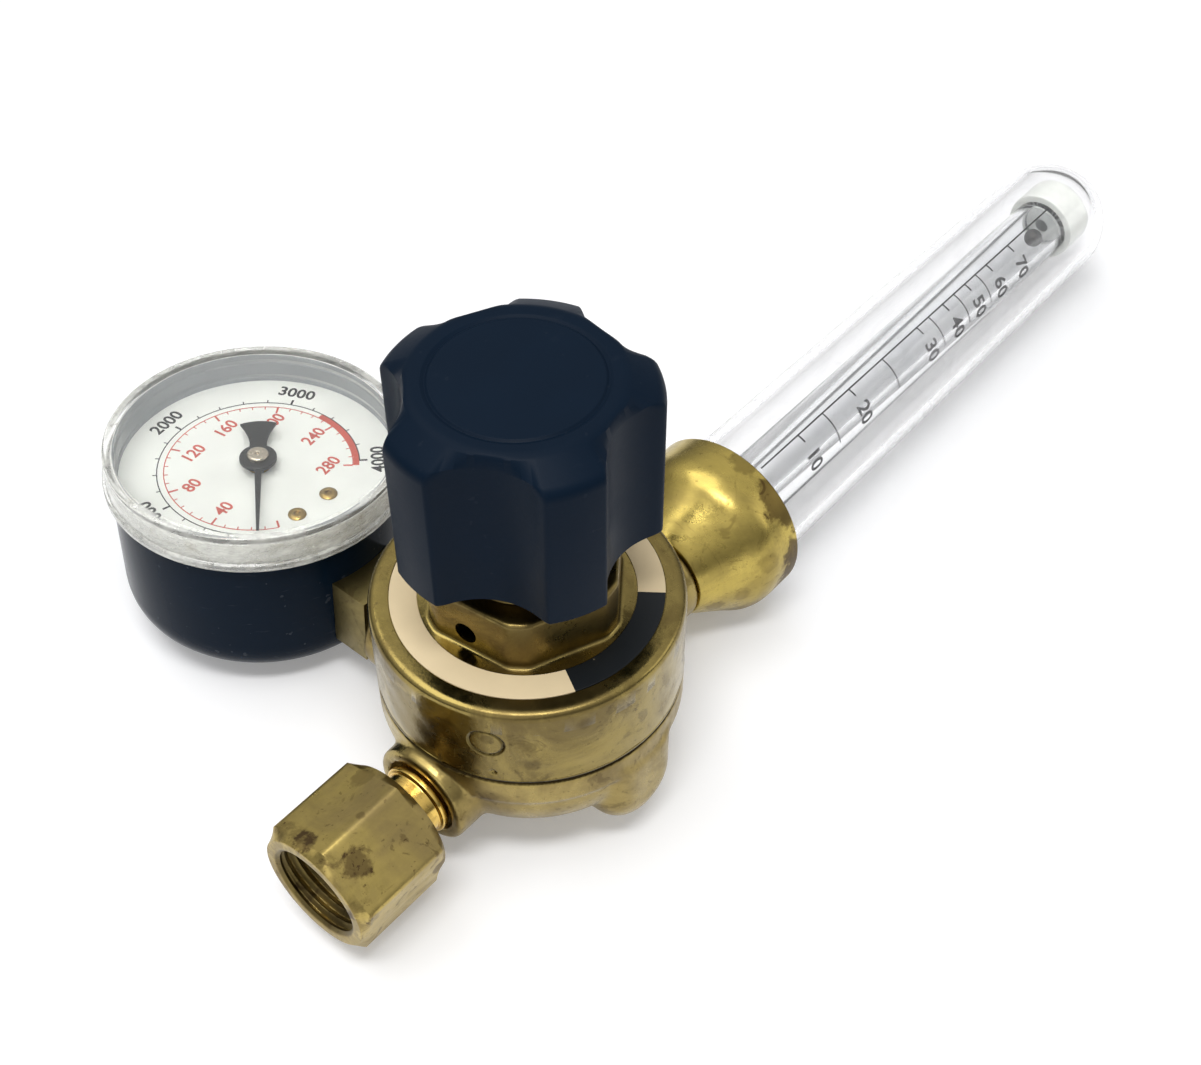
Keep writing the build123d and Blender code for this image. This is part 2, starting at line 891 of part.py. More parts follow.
# Cover tube, slightly tapered, with a round closed end
cover_in_r = cover_r - cover_wall
end_in_r = cover_end_r - cover_wall
end_mid = cover_end_r * math.sqrt(0.5)
end_in_mid = end_in_r * math.sqrt(0.5)
with BuildPart() as cover_tube:
    with BuildSketch(Plane.XZ):
        with BuildLine():
            Polyline(
                *along(
                    [
                        (cover_centre_x + end_in_r, 0),
                        (cover_centre_x + cover_end_r, 0),
                    ],
                    outlet_z,
                )
            )
            ThreePointArc(
                *along(
                    [
                        (cover_centre_x + cover_end_r, 0),
                        (cover_centre_x + end_mid, end_mid),
                        (cover_centre_x, cover_end_r),
                    ],
                    outlet_z,
                )
            )
            Polyline(
                *along(
                    [
                        (cover_centre_x, cover_end_r),
                        (cup_rim_x, cover_r),
                        (tube_seat_x, cover_r),
                        (tube_seat_x, cover_in_r),
                        (cover_centre_x, end_in_r),
                    ],
                    outlet_z,
                )
            )
            ThreePointArc(
                *along(
                    [
                        (cover_centre_x, end_in_r),
                        (cover_centre_x + end_in_mid, end_in_mid),
                        (cover_centre_x + end_in_r, 0),
                    ],
                    outlet_z,
                )
            )
        make_face()
    revolve(axis=outlet_axis)

# Metering tube with a tapered bore
with BuildPart() as metering_tube:
    with BuildSketch(Plane.XZ):
        with BuildLine():
            Polyline(
                *along(
                    [
                        (meter_start_x, bore_low_r),
                        (meter_start_x, meter_r),
                        (meter_end_x, meter_r),
                        (meter_end_x, bore_high_r),
                        (bottom_stop_x, bore_low_r),
                    ],
                    outlet_z,
                ),
                close=True,
            )
        make_face()
    revolve(axis=outlet_axis)

# Ball, lying low in the bore near its top stop
bore_slope = (bore_high_r - bore_low_r) / (meter_end_x - bottom_stop_x)
ball_bore_r = bore_low_r + bore_slope * (ball_x - bottom_stop_x)
with BuildPart() as float_ball:
    with Locations((ball_x, 0, outlet_z - ball_bore_r + ball_r + free_gap)):
        Sphere(ball_r)

# Stop ring at the bottom of the bore
with BuildPart() as bottom_stop:
    with BuildSketch(Plane.YZ.offset(bottom_stop_x)):
        with Locations((0, outlet_z)):
            Circle(bore_low_r - press_gap)
            Circle(bore_low_r - stop_wall - stop_shelf, mode=Mode.SUBTRACT)
    extrude(amount=-stop_wall)

# Top cap of the metering tube, with a cross vent
cap_lip_r = bore_high_r - stop_wall * bore_slope - press_gap
with BuildPart() as top_cap:
    with BuildSketch(Plane.YZ.offset(meter_end_x)):
        with Locations((0, outlet_z)):
            Circle(top_cap_r)
    extrude(amount=top_cap_len)
    chamfer(top_cap.faces().sort_by(Axis.X)[-1].edges(), top_cap_edge)
    with BuildSketch(Plane.YZ.offset(meter_end_x)):
        with Locations((0, outlet_z)):
            Circle(cap_lip_r)
    extrude(amount=-stop_wall)
    with BuildSketch(Plane.YZ.offset(meter_end_x - stop_wall)):
        with Locations((0, outlet_z)):
            Circle(top_vent_r)
    extrude(amount=top_cap_len / 2 + stop_wall, mode=Mode.SUBTRACT)
    with BuildSketch(Plane.XZ.offset(-top_cap_r)):
        with Locations((meter_end_x + top_cap_len / 2, outlet_z)):
            Circle(top_vent_r)
    extrude(amount=2 * top_cap_r, mode=Mode.SUBTRACT)

# Outlet fitting with an internal thread for the hose
with BuildPart() as outlet_fitting:
    with BuildSketch(Plane.XZ.offset(-outlet_shoulder_y)):
        with Locations((outlet_x, outlet_z)):
            RegularPolygon(outlet_hex_flats / 2, 6, major_radius=False)
    extrude(amount=outlet_shoulder_y - outlet_hex_end)
    chamfer(outlet_fitting.faces().sort_by(Axis.Y)[-1].edges(), outlet_hex_chamfer)
    with BuildSketch(Plane.XZ.offset(-outlet_shoulder_y)):
        with Locations((outlet_x, outlet_z)):
            Circle(outlet_stub_r)
    extrude(amount=outlet_shoulder_y - outlet_stub_y)
    with BuildSketch(Plane.XY.offset(outlet_z)):
        with BuildLine():
            Polyline(
                (outlet_x, outlet_stub_y),
                (outlet_x + outlet_bore_r, outlet_stub_y),
                (outlet_x + outlet_bore_r, outlet_hex_end - outlet_port_deep - outlet_seat_deep),
                (outlet_x + outlet_port_r, outlet_hex_end - outlet_port_deep),
                (outlet_x + outlet_port_r, outlet_hex_end - outlet_lead_in),
                (outlet_x + outlet_port_r + outlet_lead_in, outlet_hex_end),
                (outlet_x, outlet_hex_end),
                close=True,
            )
        make_face()
    revolve(axis=fitting_axis, mode=Mode.SUBTRACT)

# Bourdon tube: flat spring tube, its root in the socket and its tip closed
bourdon_r = gauge_case_r - bourdon_inset
bourdon_turn = math.radians(bourdon_start)
root_turn = math.radians(bourdon_start - bourdon_root)
bourdon_plane = Plane(
    (gauge_x, gauge_y, 0),
    x_dir=(math.cos(bourdon_turn), math.sin(bourdon_turn), 0),
    z_dir=(math.sin(bourdon_turn), -math.cos(bourdon_turn), 0),
)
root_plane = Plane(
    (gauge_x, gauge_y, 0),
    x_dir=(math.cos(root_turn), math.sin(root_turn), 0),
    z_dir=(math.sin(root_turn), -math.cos(root_turn), 0),
)
bourdon_bore_w = bourdon_w - 2 * bourdon_wall
with BuildPart() as bourdon_tube:
    with BuildSketch(bourdon_plane):
        with Locations((bourdon_r, bourdon_z)):
            Rectangle(bourdon_t, bourdon_w)
    revolve(axis=gauge_axis, revolution_arc=bourdon_sweep)
    with BuildSketch(bourdon_plane):
        with Locations((bourdon_r, bourdon_z)):
            Rectangle(bourdon_t - 2 * bourdon_wall, bourdon_bore_w)
    revolve(axis=gauge_axis, revolution_arc=bourdon_sweep - bourdon_root, mode=Mode.SUBTRACT)

# Gauge socket: square block with a threaded stem, its inner end in the case
inner_z = bourdon_z + socket_inside_h / 2
socket_bore_end = gauge_y - bourdon_r + gauge_bore_r
rivet_y = socket_far_y - gauge_y - rivet_inset
rivet_spots = [
    (rivet_mid_x - rivet_half_gap, rivet_y),
    (rivet_mid_x + rivet_half_gap, rivet_y),
]
with BuildPart() as gauge_socket:
    with BuildSketch(Plane.XZ.offset(-socket_near_y)):
        with Locations((gauge_x, inlet_z)):
            Rectangle(socket_w, socket_h)
    extrude(amount=socket_near_y - gauge_y)
    with BuildSketch(gauge_plane):
        Circle(gauge_case_r + thread_gap)
    extrude(amount=gauge_rim_z, mode=Mode.SUBTRACT)
    with BuildSketch(Plane.XZ.offset(-socket_near_y)):
        with Locations((gauge_x, bourdon_z)):
            Rectangle(socket_w - 2 * thread_gap, socket_inside_h)
    extrude(amount=socket_near_y - socket_far_y)
    with BuildSketch(Plane.XZ.offset(-socket_near_y)):
        with Locations((gauge_x, inlet_z)):
            Circle(socket_stem_r)
    extrude(amount=socket_stem_len)
    with BuildSketch(Plane.XZ.offset(socket_stem_len - socket_near_y)):
        with Locations((gauge_x, inlet_z)):
            Circle(gauge_bore_r)
    extrude(amount=socket_near_y - socket_stem_len - socket_bore_end, mode=Mode.SUBTRACT)
    with BuildSketch(root_plane):
        with Locations((bourdon_r, bourdon_z)):
            Rectangle(bourdon_t + 2 * press_gap, bourdon_w + 2 * press_gap)
    revolve(axis=gauge_axis, revolution_arc=bourdon_sweep / 4, mode=Mode.SUBTRACT)
    with BuildSketch(gauge_plane.offset(inner_z)):
        with Locations(*rivet_spots):
            Circle(rivet_shank_r + press_gap)
    extrude(amount=-rivet_sink, mode=Mode.SUBTRACT)

# Gauge case: drawn cup with a window for the socket
case_in_r = gauge_case_r - gauge_case_wall
with BuildPart() as gauge_case:
    with BuildSketch(gauge_plane.offset(gauge_back_z)):
        Circle(gauge_case_r)
    extrude(amount=gauge_rim_z - gauge_back_z)
    fillet(gauge_case.edges().group_by(Axis.Z)[0], gauge_back_round)
    offset(
        amount=-gauge_case_wall,
        openings=gauge_case.faces().sort_by(Axis.Z)[-1],
    )
    with BuildSketch(Plane.XZ.offset(-socket_near_y)):
        with Locations((gauge_x, bourdon_z)):
            Rectangle(socket_w, socket_inside_h + 2 * thread_gap)
    extrude(amount=socket_near_y - socket_far_y, mode=Mode.SUBTRACT)
    with BuildSketch(gauge_plane.offset(gauge_back_z)):
        with Locations((0, case_in_r / 2)):
            Circle(relief_r)
    extrude(amount=gauge_case_wall, mode=Mode.SUBTRACT)

# Plug closing the relief hole in the back of the case
with BuildPart() as relief_plug:
    with BuildSketch(gauge_plane.offset(gauge_back_z)):
        with Locations((0, case_in_r / 2)):
            Circle(relief_r - press_gap)
    extrude(amount=gauge_case_wall)
    with BuildSketch(gauge_plane.offset(gauge_back_z + gauge_case_wall)):
        with Locations((0, case_in_r / 2)):
            Circle(relief_r + relief_lip)
    extrude(amount=relief_lip)

# Clear lens, snapped over the rim of the case
lens_in_r = case_in_r + press_gap
lens_r = lens_in_r + lens_wall
lens_flange_r = lens_r + lens_flange_w
with BuildPart() as gauge_lens:
    with BuildSketch(gauge_plane.offset(lens_flange_z)):
        Circle(lens_r)
    extrude(amount=lens_top_z - lens_flange_z)
    fillet(gauge_lens.faces().sort_by(Axis.Z)[-1].edges(), lens_edge)
    with BuildSketch(gauge_plane.offset(lens_flange_z)):
        Circle(lens_flange_r)
    extrude(amount=lens_flange_t)
    with BuildSketch(gauge_plane.offset(lens_flange_z)):
        Circle(gauge_case_r + lens_skirt_gap)
    extrude(amount=gauge_rim_z - lens_flange_z, mode=Mode.SUBTRACT)
    with BuildSketch(gauge_plane.offset(gauge_rim_z)):
        Circle(lens_in_r)
    extrude(amount=lens_top_z - lens_t - gauge_rim_z, mode=Mode.SUBTRACT)

# Dial and the spacer ring that holds its edge down
spacer_r = lens_in_r - dial_gap / 2
dial_r = case_in_r - dial_gap
with BuildPart() as gauge_dial:
    with BuildSketch(gauge_plane.offset(dial_z)):
        Circle(dial_r)
        Circle(dial_hole_r, mode=Mode.SUBTRACT)
        with Locations(*rivet_spots):
            Circle(rivet_shank_r + press_gap, mode=Mode.SUBTRACT)
    extrude(amount=dial_t)

with BuildPart() as gauge_spacer:
    with BuildSketch(gauge_plane.offset(dial_z + dial_t)):
        Circle(spacer_r)
        Circle(spacer_r - spacer_wall, mode=Mode.SUBTRACT)
    extrude(amount=lens_top_z - lens_t - dial_z - dial_t)

# Two posts from the socket, riveted over the dial
with BuildPart() as dial_posts:
    with BuildSketch(gauge_plane.offset(inner_z - rivet_sink)):
        with Locations(*rivet_spots):
            Circle(rivet_shank_r)
    extrude(amount=dial_z + dial_t - inner_z + rivet_sink)
    with BuildSketch(gauge_plane.offset(inner_z)):
        with Locations(*rivet_spots):
            Circle(rivet_r)
    extrude(amount=dial_z - inner_z)
    with BuildSketch(gauge_plane.offset(dial_z + dial_t)):
        with Locations(*rivet_spots):
            Circle(rivet_r)
    extrude(amount=rivet_head_h)

# Movement frame: two plates on three pillars, its foot on the socket
pivot_ring_r = pinion_r + sector_r + slide_gap
pivot_turn = math.radians(sector_direction)
pivot_x = pivot_ring_r * math.cos(pivot_turn)
pivot_y = pivot_ring_r * math.sin(pivot_turn)
foot_y = socket_far_y - gauge_y
with BuildPart() as movement_frame:
    with BuildSketch(gauge_plane.offset(movement_low_z)):
        Circle(movement_r)
        with Locations((movement_tab_x, foot_y - movement_tab_reach)):
            Rectangle(movement_tab_w, movement_r - foot_y, align=(Align.CENTER, Align.MIN))
    extrude(amount=movement_plate_t)
    with BuildSketch(gauge_plane.offset(movement_top_z - movement_plate_t)):
        Circle(movement_r)
    extrude(amount=movement_plate_t)
    with BuildSketch(gauge_plane.offset(movement_low_z)):
        for pillar_angle in pillar_angles:
            with PolarLocations(pillar_ring_r, 1, start_angle=pillar_angle):
                Circle(pillar_r)
    extrude(amount=movement_top_z - movement_low_z)
    with BuildSketch(gauge_plane.offset(inner_z)):
        with Locations((movement_tab_x, foot_y - movement_tab_reach)):
            Rectangle(movement_tab_w, movement_tab_reach, align=(Align.CENTER, Align.MIN))
    extrude(amount=movement_low_z - inner_z)
    with BuildSketch(gauge_plane.offset(movement_low_z)):
        Circle(spindle_r + thread_gap)
        with Locations((pivot_x, pivot_y)):
            Circle(sector_pivot_r + thread_gap)
    extrude(amount=movement_top_z - movement_low_z, mode=Mode.SUBTRACT)

# Pointer spindle with its pinion
pinion_z = sector_z + sector_t / 2 - pinion_h / 2
with BuildPart() as pointer_spindle:
    with BuildSketch(gauge_plane.offset(movement_low_z)):
        Circle(spindle_r)
    extrude(amount=pointer_z + pointer_t - movement_low_z)
    with BuildSketch(gauge_plane.offset(pinion_z)):
        Circle(pinion_r)
    extrude(amount=pinion_h)
    with BuildSketch(gauge_plane.offset(dial_z + dial_t)):
        Circle(spindle_head_r)
    extrude(amount=pointer_z - dial_z - dial_t)

# Sector gear with its tail and pivot pin
sector_heading = sector_direction + 180 + sector_rest
with BuildPart() as sector_gear:
    with BuildSketch(Plane((gauge_x + pivot_x, gauge_y + pivot_y, sector_z))):
        with BuildLine():
            Line((0, 0), PolarLine((0, 0), sector_r, sector_heading - sector_half, mode=Mode.PRIVATE) @ 1)
            CenterArc((0, 0), sector_r, sector_heading - sector_half, 2 * sector_half)
            Line(PolarLine((0, 0), sector_r, sector_heading + sector_half, mode=Mode.PRIVATE) @ 1, (0, 0))
        make_face()
        Circle(link_w)
        with PolarLocations(sector_tail / 2, 1, start_angle=sector_heading + 180):
            Rectangle(sector_tail, link_w)
        with PolarLocations(sector_tail, 1, start_angle=sector_heading + 180):
            Circle(link_w / 2)
    extrude(amount=sector_t)
    with BuildSketch(Plane((gauge_x + pivot_x, gauge_y + pivot_y, movement_low_z))):
        Circle(sector_pivot_r)
    extrude(amount=movement_top_z - movement_low_z)

# Link from the tip of the Bourdon tube to the sector tail
tail_turn = math.radians(sector_heading + 180)
tail_x = pivot_x + sector_tail * math.cos(tail_turn)
tail_y = pivot_y + sector_tail * math.sin(tail_turn)
tip_turn = math.radians(bourdon_start + bourdon_sweep - bourdon_root)
tip_x = bourdon_r * math.cos(tip_turn)
tip_y = bourdon_r * math.sin(tip_turn)
link_len = math.hypot(tail_x - tip_x, tail_y - tip_y)
link_turn = math.degrees(math.atan2(tail_y - tip_y, tail_x - tip_x))
link_z = sector_z + sector_t + slide_gap
with BuildPart() as tip_link:
    with BuildSketch(gauge_plane.offset(link_z)):
        with Locations(((tail_x + tip_x) / 2, (tail_y + tip_y) / 2)):
            SlotCenterToCenter(link_len, link_w, rotation=link_turn)
    extrude(amount=link_t)
    with BuildSketch(gauge_plane.offset(bourdon_z + bourdon_w / 2)):
        with Locations((tip_x, tip_y)):
            Circle(link_w / 2)
    extrude(amount=link_z - bourdon_z - bourdon_w / 2)

# Pointer, resting a little below the zero of the scale, and the cap on its hub
pointer_plane = Plane(
    (gauge_x, gauge_y, pointer_z),
    x_dir=(math.cos(math.radians(pointer_angle)), math.sin(math.radians(pointer_angle)), 0),
    z_dir=(0, 0, 1),
)
with BuildPart() as gauge_pointer:
    with BuildSketch(pointer_plane):
        Polygon(
            (0, -pointer_root_w / 2),
            (pointer_len, -pointer_tip_w / 2),
            (pointer_len, pointer_tip_w / 2),
            (0, pointer_root_w / 2),
            align=None,
        )
        Polygon(
            (0, -pointer_waist_w / 2),
            (0, pointer_waist_w / 2),
            (-pointer_waist, pointer_waist_w / 2),
            (-pointer_tail, pointer_tail_w / 2),
            (-pointer_tail, -pointer_tail_w / 2),
            (-pointer_waist, -pointer_waist_w / 2),
            align=None,
        )
        Circle(pointer_disc_r)
        Circle(spindle_r + press_gap, mode=Mode.SUBTRACT)
    extrude(amount=pointer_t)

with BuildPart() as pointer_cap:
    with BuildSketch(gauge_plane.offset(pointer_z + pointer_t)):
        Circle(cap_r)
    extrude(amount=cap_h)
    fillet(pointer_cap.faces().sort_by(Axis.Z)[-1].edges(), cap_h / 2)

# The gauge stands a little turned on its threaded stem
for turned in (
    bourdon_tube,
    gauge_socket,
    gauge_case,
    relief_plug,
    gauge_lens,
    gauge_dial,
    gauge_spacer,
    dial_posts,
    movement_frame,
    pointer_spindle,
    sector_gear,
    tip_link,
    gauge_pointer,
    pointer_cap,
):
    turned.part = turned.part.rotate(stem_axis, gauge_turn)

body.part.label = "body"
nozzle.part.label = "nozzle"
poppet.part.label = "poppet"
poppet_spring.part.label = "poppet_spring"
diaphragm.part.label = "diaphragm"
slip_ring.part.label = "slip_ring"
foot_plate.part.label = "foot_plate"
spring_plate.part.label = "spring_plate"
spring_button.part.label = "spring_button"
range_spring.part.label = "range_spring"
bonnet.part.label = "bonnet"
label_ring.part.label = "label_ring"
adjusting_screw.part.label = "adjusting_screw"
knob.part.label = "knob"
inlet_nipple.part.label = "inlet_nipple"
inlet_filter.part.label = "inlet_filter"
inlet_nut.part.label = "inlet_nut"
flow_cup.part.label = "flow_cup"
cover_seal.part.label = "cover_seal"
cover_tube.part.label = "cover_tube"
metering_tube.part.label = "metering_tube"
float_ball.part.label = "float_ball"
bottom_stop.part.label = "bottom_stop"
top_cap.part.label = "top_cap"
outlet_fitting.part.label = "outlet_fitting"
bourdon_tube.part.label = "bourdon_tube"
gauge_socket.part.label = "gauge_socket"
gauge_case.part.label = "gauge_case"
relief_plug.part.label = "relief_plug"
gauge_lens.part.label = "gauge_lens"
gauge_dial.part.label = "gauge_dial"
gauge_spacer.part.label = "gauge_spacer"
dial_posts.part.label = "dial_posts"
movement_frame.part.label = "movement_frame"
pointer_spindle.part.label = "pointer_spindle"
sector_gear.part.label = "sector_gear"
tip_link.part.label = "tip_link"
gauge_pointer.part.label = "gauge_pointer"
pointer_cap.part.label = "pointer_cap"

export_step(body.part, "parts/body.step")
export_step(nozzle.part, "parts/nozzle.step")
export_step(poppet.part, "parts/poppet.step")
export_step(poppet_spring.part, "parts/poppet_spring.step")
export_step(diaphragm.part, "parts/diaphragm.step")
export_step(slip_ring.part, "parts/slip_ring.step")
export_step(foot_plate.part, "parts/foot_plate.step")
export_step(spring_plate.part, "parts/spring_plate.step")
export_step(spring_button.part, "parts/spring_button.step")
export_step(range_spring.part, "parts/range_spring.step")
export_step(bonnet.part, "parts/bonnet.step")
export_step(label_ring.part, "parts/label_ring.step")
export_step(adjusting_screw.part, "parts/adjusting_screw.step")
export_step(knob.part, "parts/knob.step")
export_step(inlet_nipple.part, "parts/inlet_nipple.step")
export_step(inlet_filter.part, "parts/inlet_filter.step")
export_step(inlet_nut.part, "parts/inlet_nut.step")
export_step(flow_cup.part, "parts/flow_cup.step")
export_step(cover_seal.part, "parts/cover_seal.step")
export_step(cover_tube.part, "parts/cover_tube.step")
export_step(metering_tube.part, "parts/metering_tube.step")
export_step(float_ball.part, "parts/float_ball.step")
export_step(bottom_stop.part, "parts/bottom_stop.step")
export_step(top_cap.part, "parts/top_cap.step")
export_step(outlet_fitting.part, "parts/outlet_fitting.step")
export_step(bourdon_tube.part, "parts/bourdon_tube.step")
export_step(gauge_socket.part, "parts/gauge_socket.step")
export_step(gauge_case.part, "parts/gauge_case.step")
export_step(relief_plug.part, "parts/relief_plug.step")
export_step(gauge_lens.part, "parts/gauge_lens.step")
export_step(gauge_dial.part, "parts/gauge_dial.step")
export_step(gauge_spacer.part, "parts/gauge_spacer.step")
export_step(dial_posts.part, "parts/dial_posts.step")
export_step(movement_frame.part, "parts/movement_frame.step")
export_step(pointer_spindle.part, "parts/pointer_spindle.step")
export_step(sector_gear.part, "parts/sector_gear.step")
export_step(tip_link.part, "parts/tip_link.step")
export_step(gauge_pointer.part, "parts/gauge_pointer.step")
export_step(pointer_cap.part, "parts/pointer_cap.step")
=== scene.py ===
import math
from types import SimpleNamespace as Values

import bmesh
import bpy
import numpy as np
from mathutils import Matrix


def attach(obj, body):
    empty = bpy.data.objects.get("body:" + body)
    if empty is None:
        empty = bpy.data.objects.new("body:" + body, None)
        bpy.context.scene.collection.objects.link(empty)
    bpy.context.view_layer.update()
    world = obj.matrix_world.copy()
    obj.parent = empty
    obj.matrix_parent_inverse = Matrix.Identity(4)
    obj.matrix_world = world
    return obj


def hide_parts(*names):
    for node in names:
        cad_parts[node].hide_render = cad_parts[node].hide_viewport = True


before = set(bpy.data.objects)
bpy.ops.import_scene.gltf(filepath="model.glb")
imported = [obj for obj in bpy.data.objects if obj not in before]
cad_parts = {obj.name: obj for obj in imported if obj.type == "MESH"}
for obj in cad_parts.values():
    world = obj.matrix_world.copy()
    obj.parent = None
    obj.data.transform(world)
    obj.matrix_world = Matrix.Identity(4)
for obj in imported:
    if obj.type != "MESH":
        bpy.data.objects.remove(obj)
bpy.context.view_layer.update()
scene = bpy.context.scene
print("frame loaded:", len(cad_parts), "nodes")

# All measures are in millimetres here; mesh coordinates are scaled by mm on the way in.
mm = 0.001
tau = 2 * math.pi

# values that several pieces share: heights of the inlet's and outlet's axes, the gauge's place and turn in degrees,
# the thickness of printed marks and how much their letters are emboldened
shared = {
    "inletHigh": 16.6, "outletHigh": 17.8, "gaugeX": -3.0, "gaugeY": 69.2, "gaugeTurn": 5.0, "ink": 0.03,
    "bold": 0.02,
}


# ---------- grids, profiles and meshes

def linked(name, data):
    # a new object in the scene
    item = bpy.data.objects.new(name, data)
    scene.collection.objects.link(item)
    return item


def smoothed(piece, sharp):
    # smooth shading but for edges over an angle in degrees
    piece.data.shade_smooth()
    piece.data.set_sharp_from_angle(angle=math.radians(sharp))
    return piece


def evaluated(piece):
    # the piece's mesh with its modifiers worked in
    bpy.context.view_layer.update()
    return bpy.data.meshes.new_from_object(piece.evaluated_get(bpy.context.evaluated_depsgraph_get()))


def rounded(corners, steps=7):
    # corners are (radius, height, rounding): each corner is cut back by its rounding, at most by just under half of a
    # side, and bridged by a quadratic curve
    most, least = 0.48, 1e-6
    points = np.array([c[:2] for c in corners], float)
    run = [points[0]]
    for i in range(1, len(corners) - 1):
        corner, cut = points[i], corners[i][2]
        back, ahead = points[i - 1] - corner, points[i + 1] - corner
        cut = min(cut, most * np.hypot(*back), most * np.hypot(*ahead))
        if cut < least:
            run.append(corner)
            continue
        start = corner + back / np.hypot(*back) * cut
        end = corner + ahead / np.hypot(*ahead) * cut
        t = np.linspace(0, 1, steps)[:, None]
        run.extend((1 - t) ** 2 * start + 2 * t * (1 - t) * corner + t**2 * end)
    run.append(points[-1])
    return np.array(run)


def axisFrame(origin, along, start):
    # origin, then the three directions of a turned piece: its zero angle, its quarter turn and its axis
    w = np.array(along, float)
    u = np.array(start, float)
    return np.array(origin, float), u, np.cross(w, u), w


upright = axisFrame((0, 0, 0), (0, 0, 1), (1, 0, 0))


def gridFaces(rows, columns, wrapRows, wrapColumns):
    # quads between neighbours of a grid, joined round where it wraps
    i = np.arange(rows if wrapRows else rows - 1)
    j = np.arange(columns if wrapColumns else columns - 1)
    a, b = np.meshgrid(i, j, indexing="ij")
    a, b = a.ravel(), b.ravel()
    nextA, nextB = (a + 1) % rows, (b + 1) % columns
    return np.stack([a * columns + b, a * columns + nextB, nextA * columns + nextB, nextA * columns + b], 1)


def meshOf(name, parts, sharp=32):
    # parts are (points, faces): joined, doubles merged, faces turned outwards, smooth but for edges over the angle
    points = np.concatenate([p for p, f in parts]) * mm
    shifts = np.cumsum([0] + [len(p) for p, f in parts])
    lists = [f.tolist() if hasattr(f, "tolist") else f for p, f in parts]
    faces = [[i + shift for i in row] for rows, shift in zip(lists, shifts.tolist()) for row in rows]
    mesh = bpy.data.meshes.new(name)
    mesh.from_pydata(points.tolist(), [], faces)
    work = bmesh.new()
    work.from_mesh(mesh)
    bmesh.ops.remove_doubles(work, verts=work.verts, dist=1e-6)
    bmesh.ops.dissolve_degenerate(work, dist=1e-7, edges=work.edges)
    bmesh.ops.recalc_face_normals(work, faces=work.faces)
    work.to_mesh(mesh)
    work.free()
    return smoothed(linked(name, mesh), sharp)


def placed(points, place):
    # points given in a turned frame, as model coordinates
    origin, u, v, w = place
    return origin + points[:, :1] * u + points[:, 1:2] * v + points[:, 2:3] * w


def lathe(profile, place=upright, count=128, closed=False, shape=None, turns=None):
    # a profile of (radius, height) carried round an axis; shape(angle, radius, height) may change the radius
    origin, u, v, w = place
    angle = (np.linspace(0, tau, count, endpoint=False) if turns is None else turns)[None, :]
    count = angle.shape[1]
    radius = np.repeat(profile[:, :1], count, 1)
    height = np.repeat(profile[:, 1:2], count, 1)
    if shape is not None:
        radius = shape(np.repeat(angle, len(profile), 0), radius, height)
    points = (
        origin
        + (radius * np.cos(angle))[..., None] * u
        + (radius * np.sin(angle))[..., None] * v
        + height[..., None] * w
    )
    return points.reshape(-1, 3), gridFaces(len(profile), count, closed, True)


def hexagon(angle, flats, phase, corner, blend=0.35):
    # distance from the middle to a hexagon's side at each angle, its corners cut to a circle by a soft minimum
    turn = (angle - phase) % (tau / 6) - tau / 12
    return softMin(flats / 2 / np.cos(turn), corner, blend)


def softMin(a, b, width):
    # the smaller of two values, blended over a width
    h = np.clip(0.5 + 0.5 * (b - a) / width, 0, 1)
    return b + (a - b) * h - width * h * (1 - h)


def slab(outline, low, high, place=upright):
    # a flat outline (x, y) given thickness from low to high
    origin, u, v, w = place
    flat = np.array(outline, float)
    n = len(flat)
    base = origin + flat[:, :1] * u + flat[:, 1:2] * v
    points = np.concatenate([base + low * w, base + high * w])
    ring = np.arange(n)
    sides = [[i, (i + 1) % n, n + (i + 1) % n, n + i] for i in ring.tolist()]
    faces = [ring[::-1].tolist(), (ring + n).tolist()] + sides
    return points, faces


def settle(piece):
    # works the piece's modifiers into its mesh
    mesh = evaluated(piece)
    piece.modifiers.clear()
    piece.data = mesh


def copyOf(node, name):
    # a merged copy of a solid's mesh, its flat triangles joined again
    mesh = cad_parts[node].data.copy()
    work = bmesh.new()
    work.from_mesh(mesh)
    bmesh.ops.remove_doubles(work, verts=work.verts, dist=2e-6)
    bmesh.ops.dissolve_limit(work, angle_limit=math.radians(1), verts=work.verts, edges=work.edges)
    work.to_mesh(mesh)
    work.free()
    mesh.materials.clear()
    return linked(name, mesh)


def bevelled(node, name, width):
    # a copy of a solid with its edges broken
    piece = copyOf(node, name)
    bevel = piece.modifiers.new("edges", "BEVEL")
    bevel.width = width * mm
    bevel.segments = 3
    bevel.limit_method = "ANGLE"
    bevel.angle_limit = math.radians(30)
    settle(piece)
    return smoothed(piece, 45)


def cast(node, name, voxel, passes):
    # a copy of a solid remeshed in small cells and relaxed, so that its inner corners flow as in a casting
    piece = copyOf(node, name)
    remesh = piece.modifiers.new("cells", "REMESH")
    remesh.mode = "VOXEL"
    remesh.voxel_size = voxel * mm
    relax = piece.modifiers.new("relax", "SMOOTH")
    relax.factor = 0.5
    relax.iterations = passes
    settle(piece)
    piece.data.shade_smooth()
    return piece


def carve(piece, cutter):
    # takes the cutter's volume out of the piece
    cut = piece.modifiers.new("cut", "BOOLEAN")
    cut.operation = "DIFFERENCE"
    cut.object = cutter
    cut.solver = "EXACT"
    settle(piece)
    bpy.data.objects.remove(cutter)
    smoothed(piece, 40)


def keep(piece, body, slotName, finish, *nodes):
    # gives the piece its finish and body, and lets it stand for solids
    piece.data.materials.clear()
    piece.data.materials.append(finish)
    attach(piece, body)
    if nodes:
        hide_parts(*nodes)


# ---------- finishes

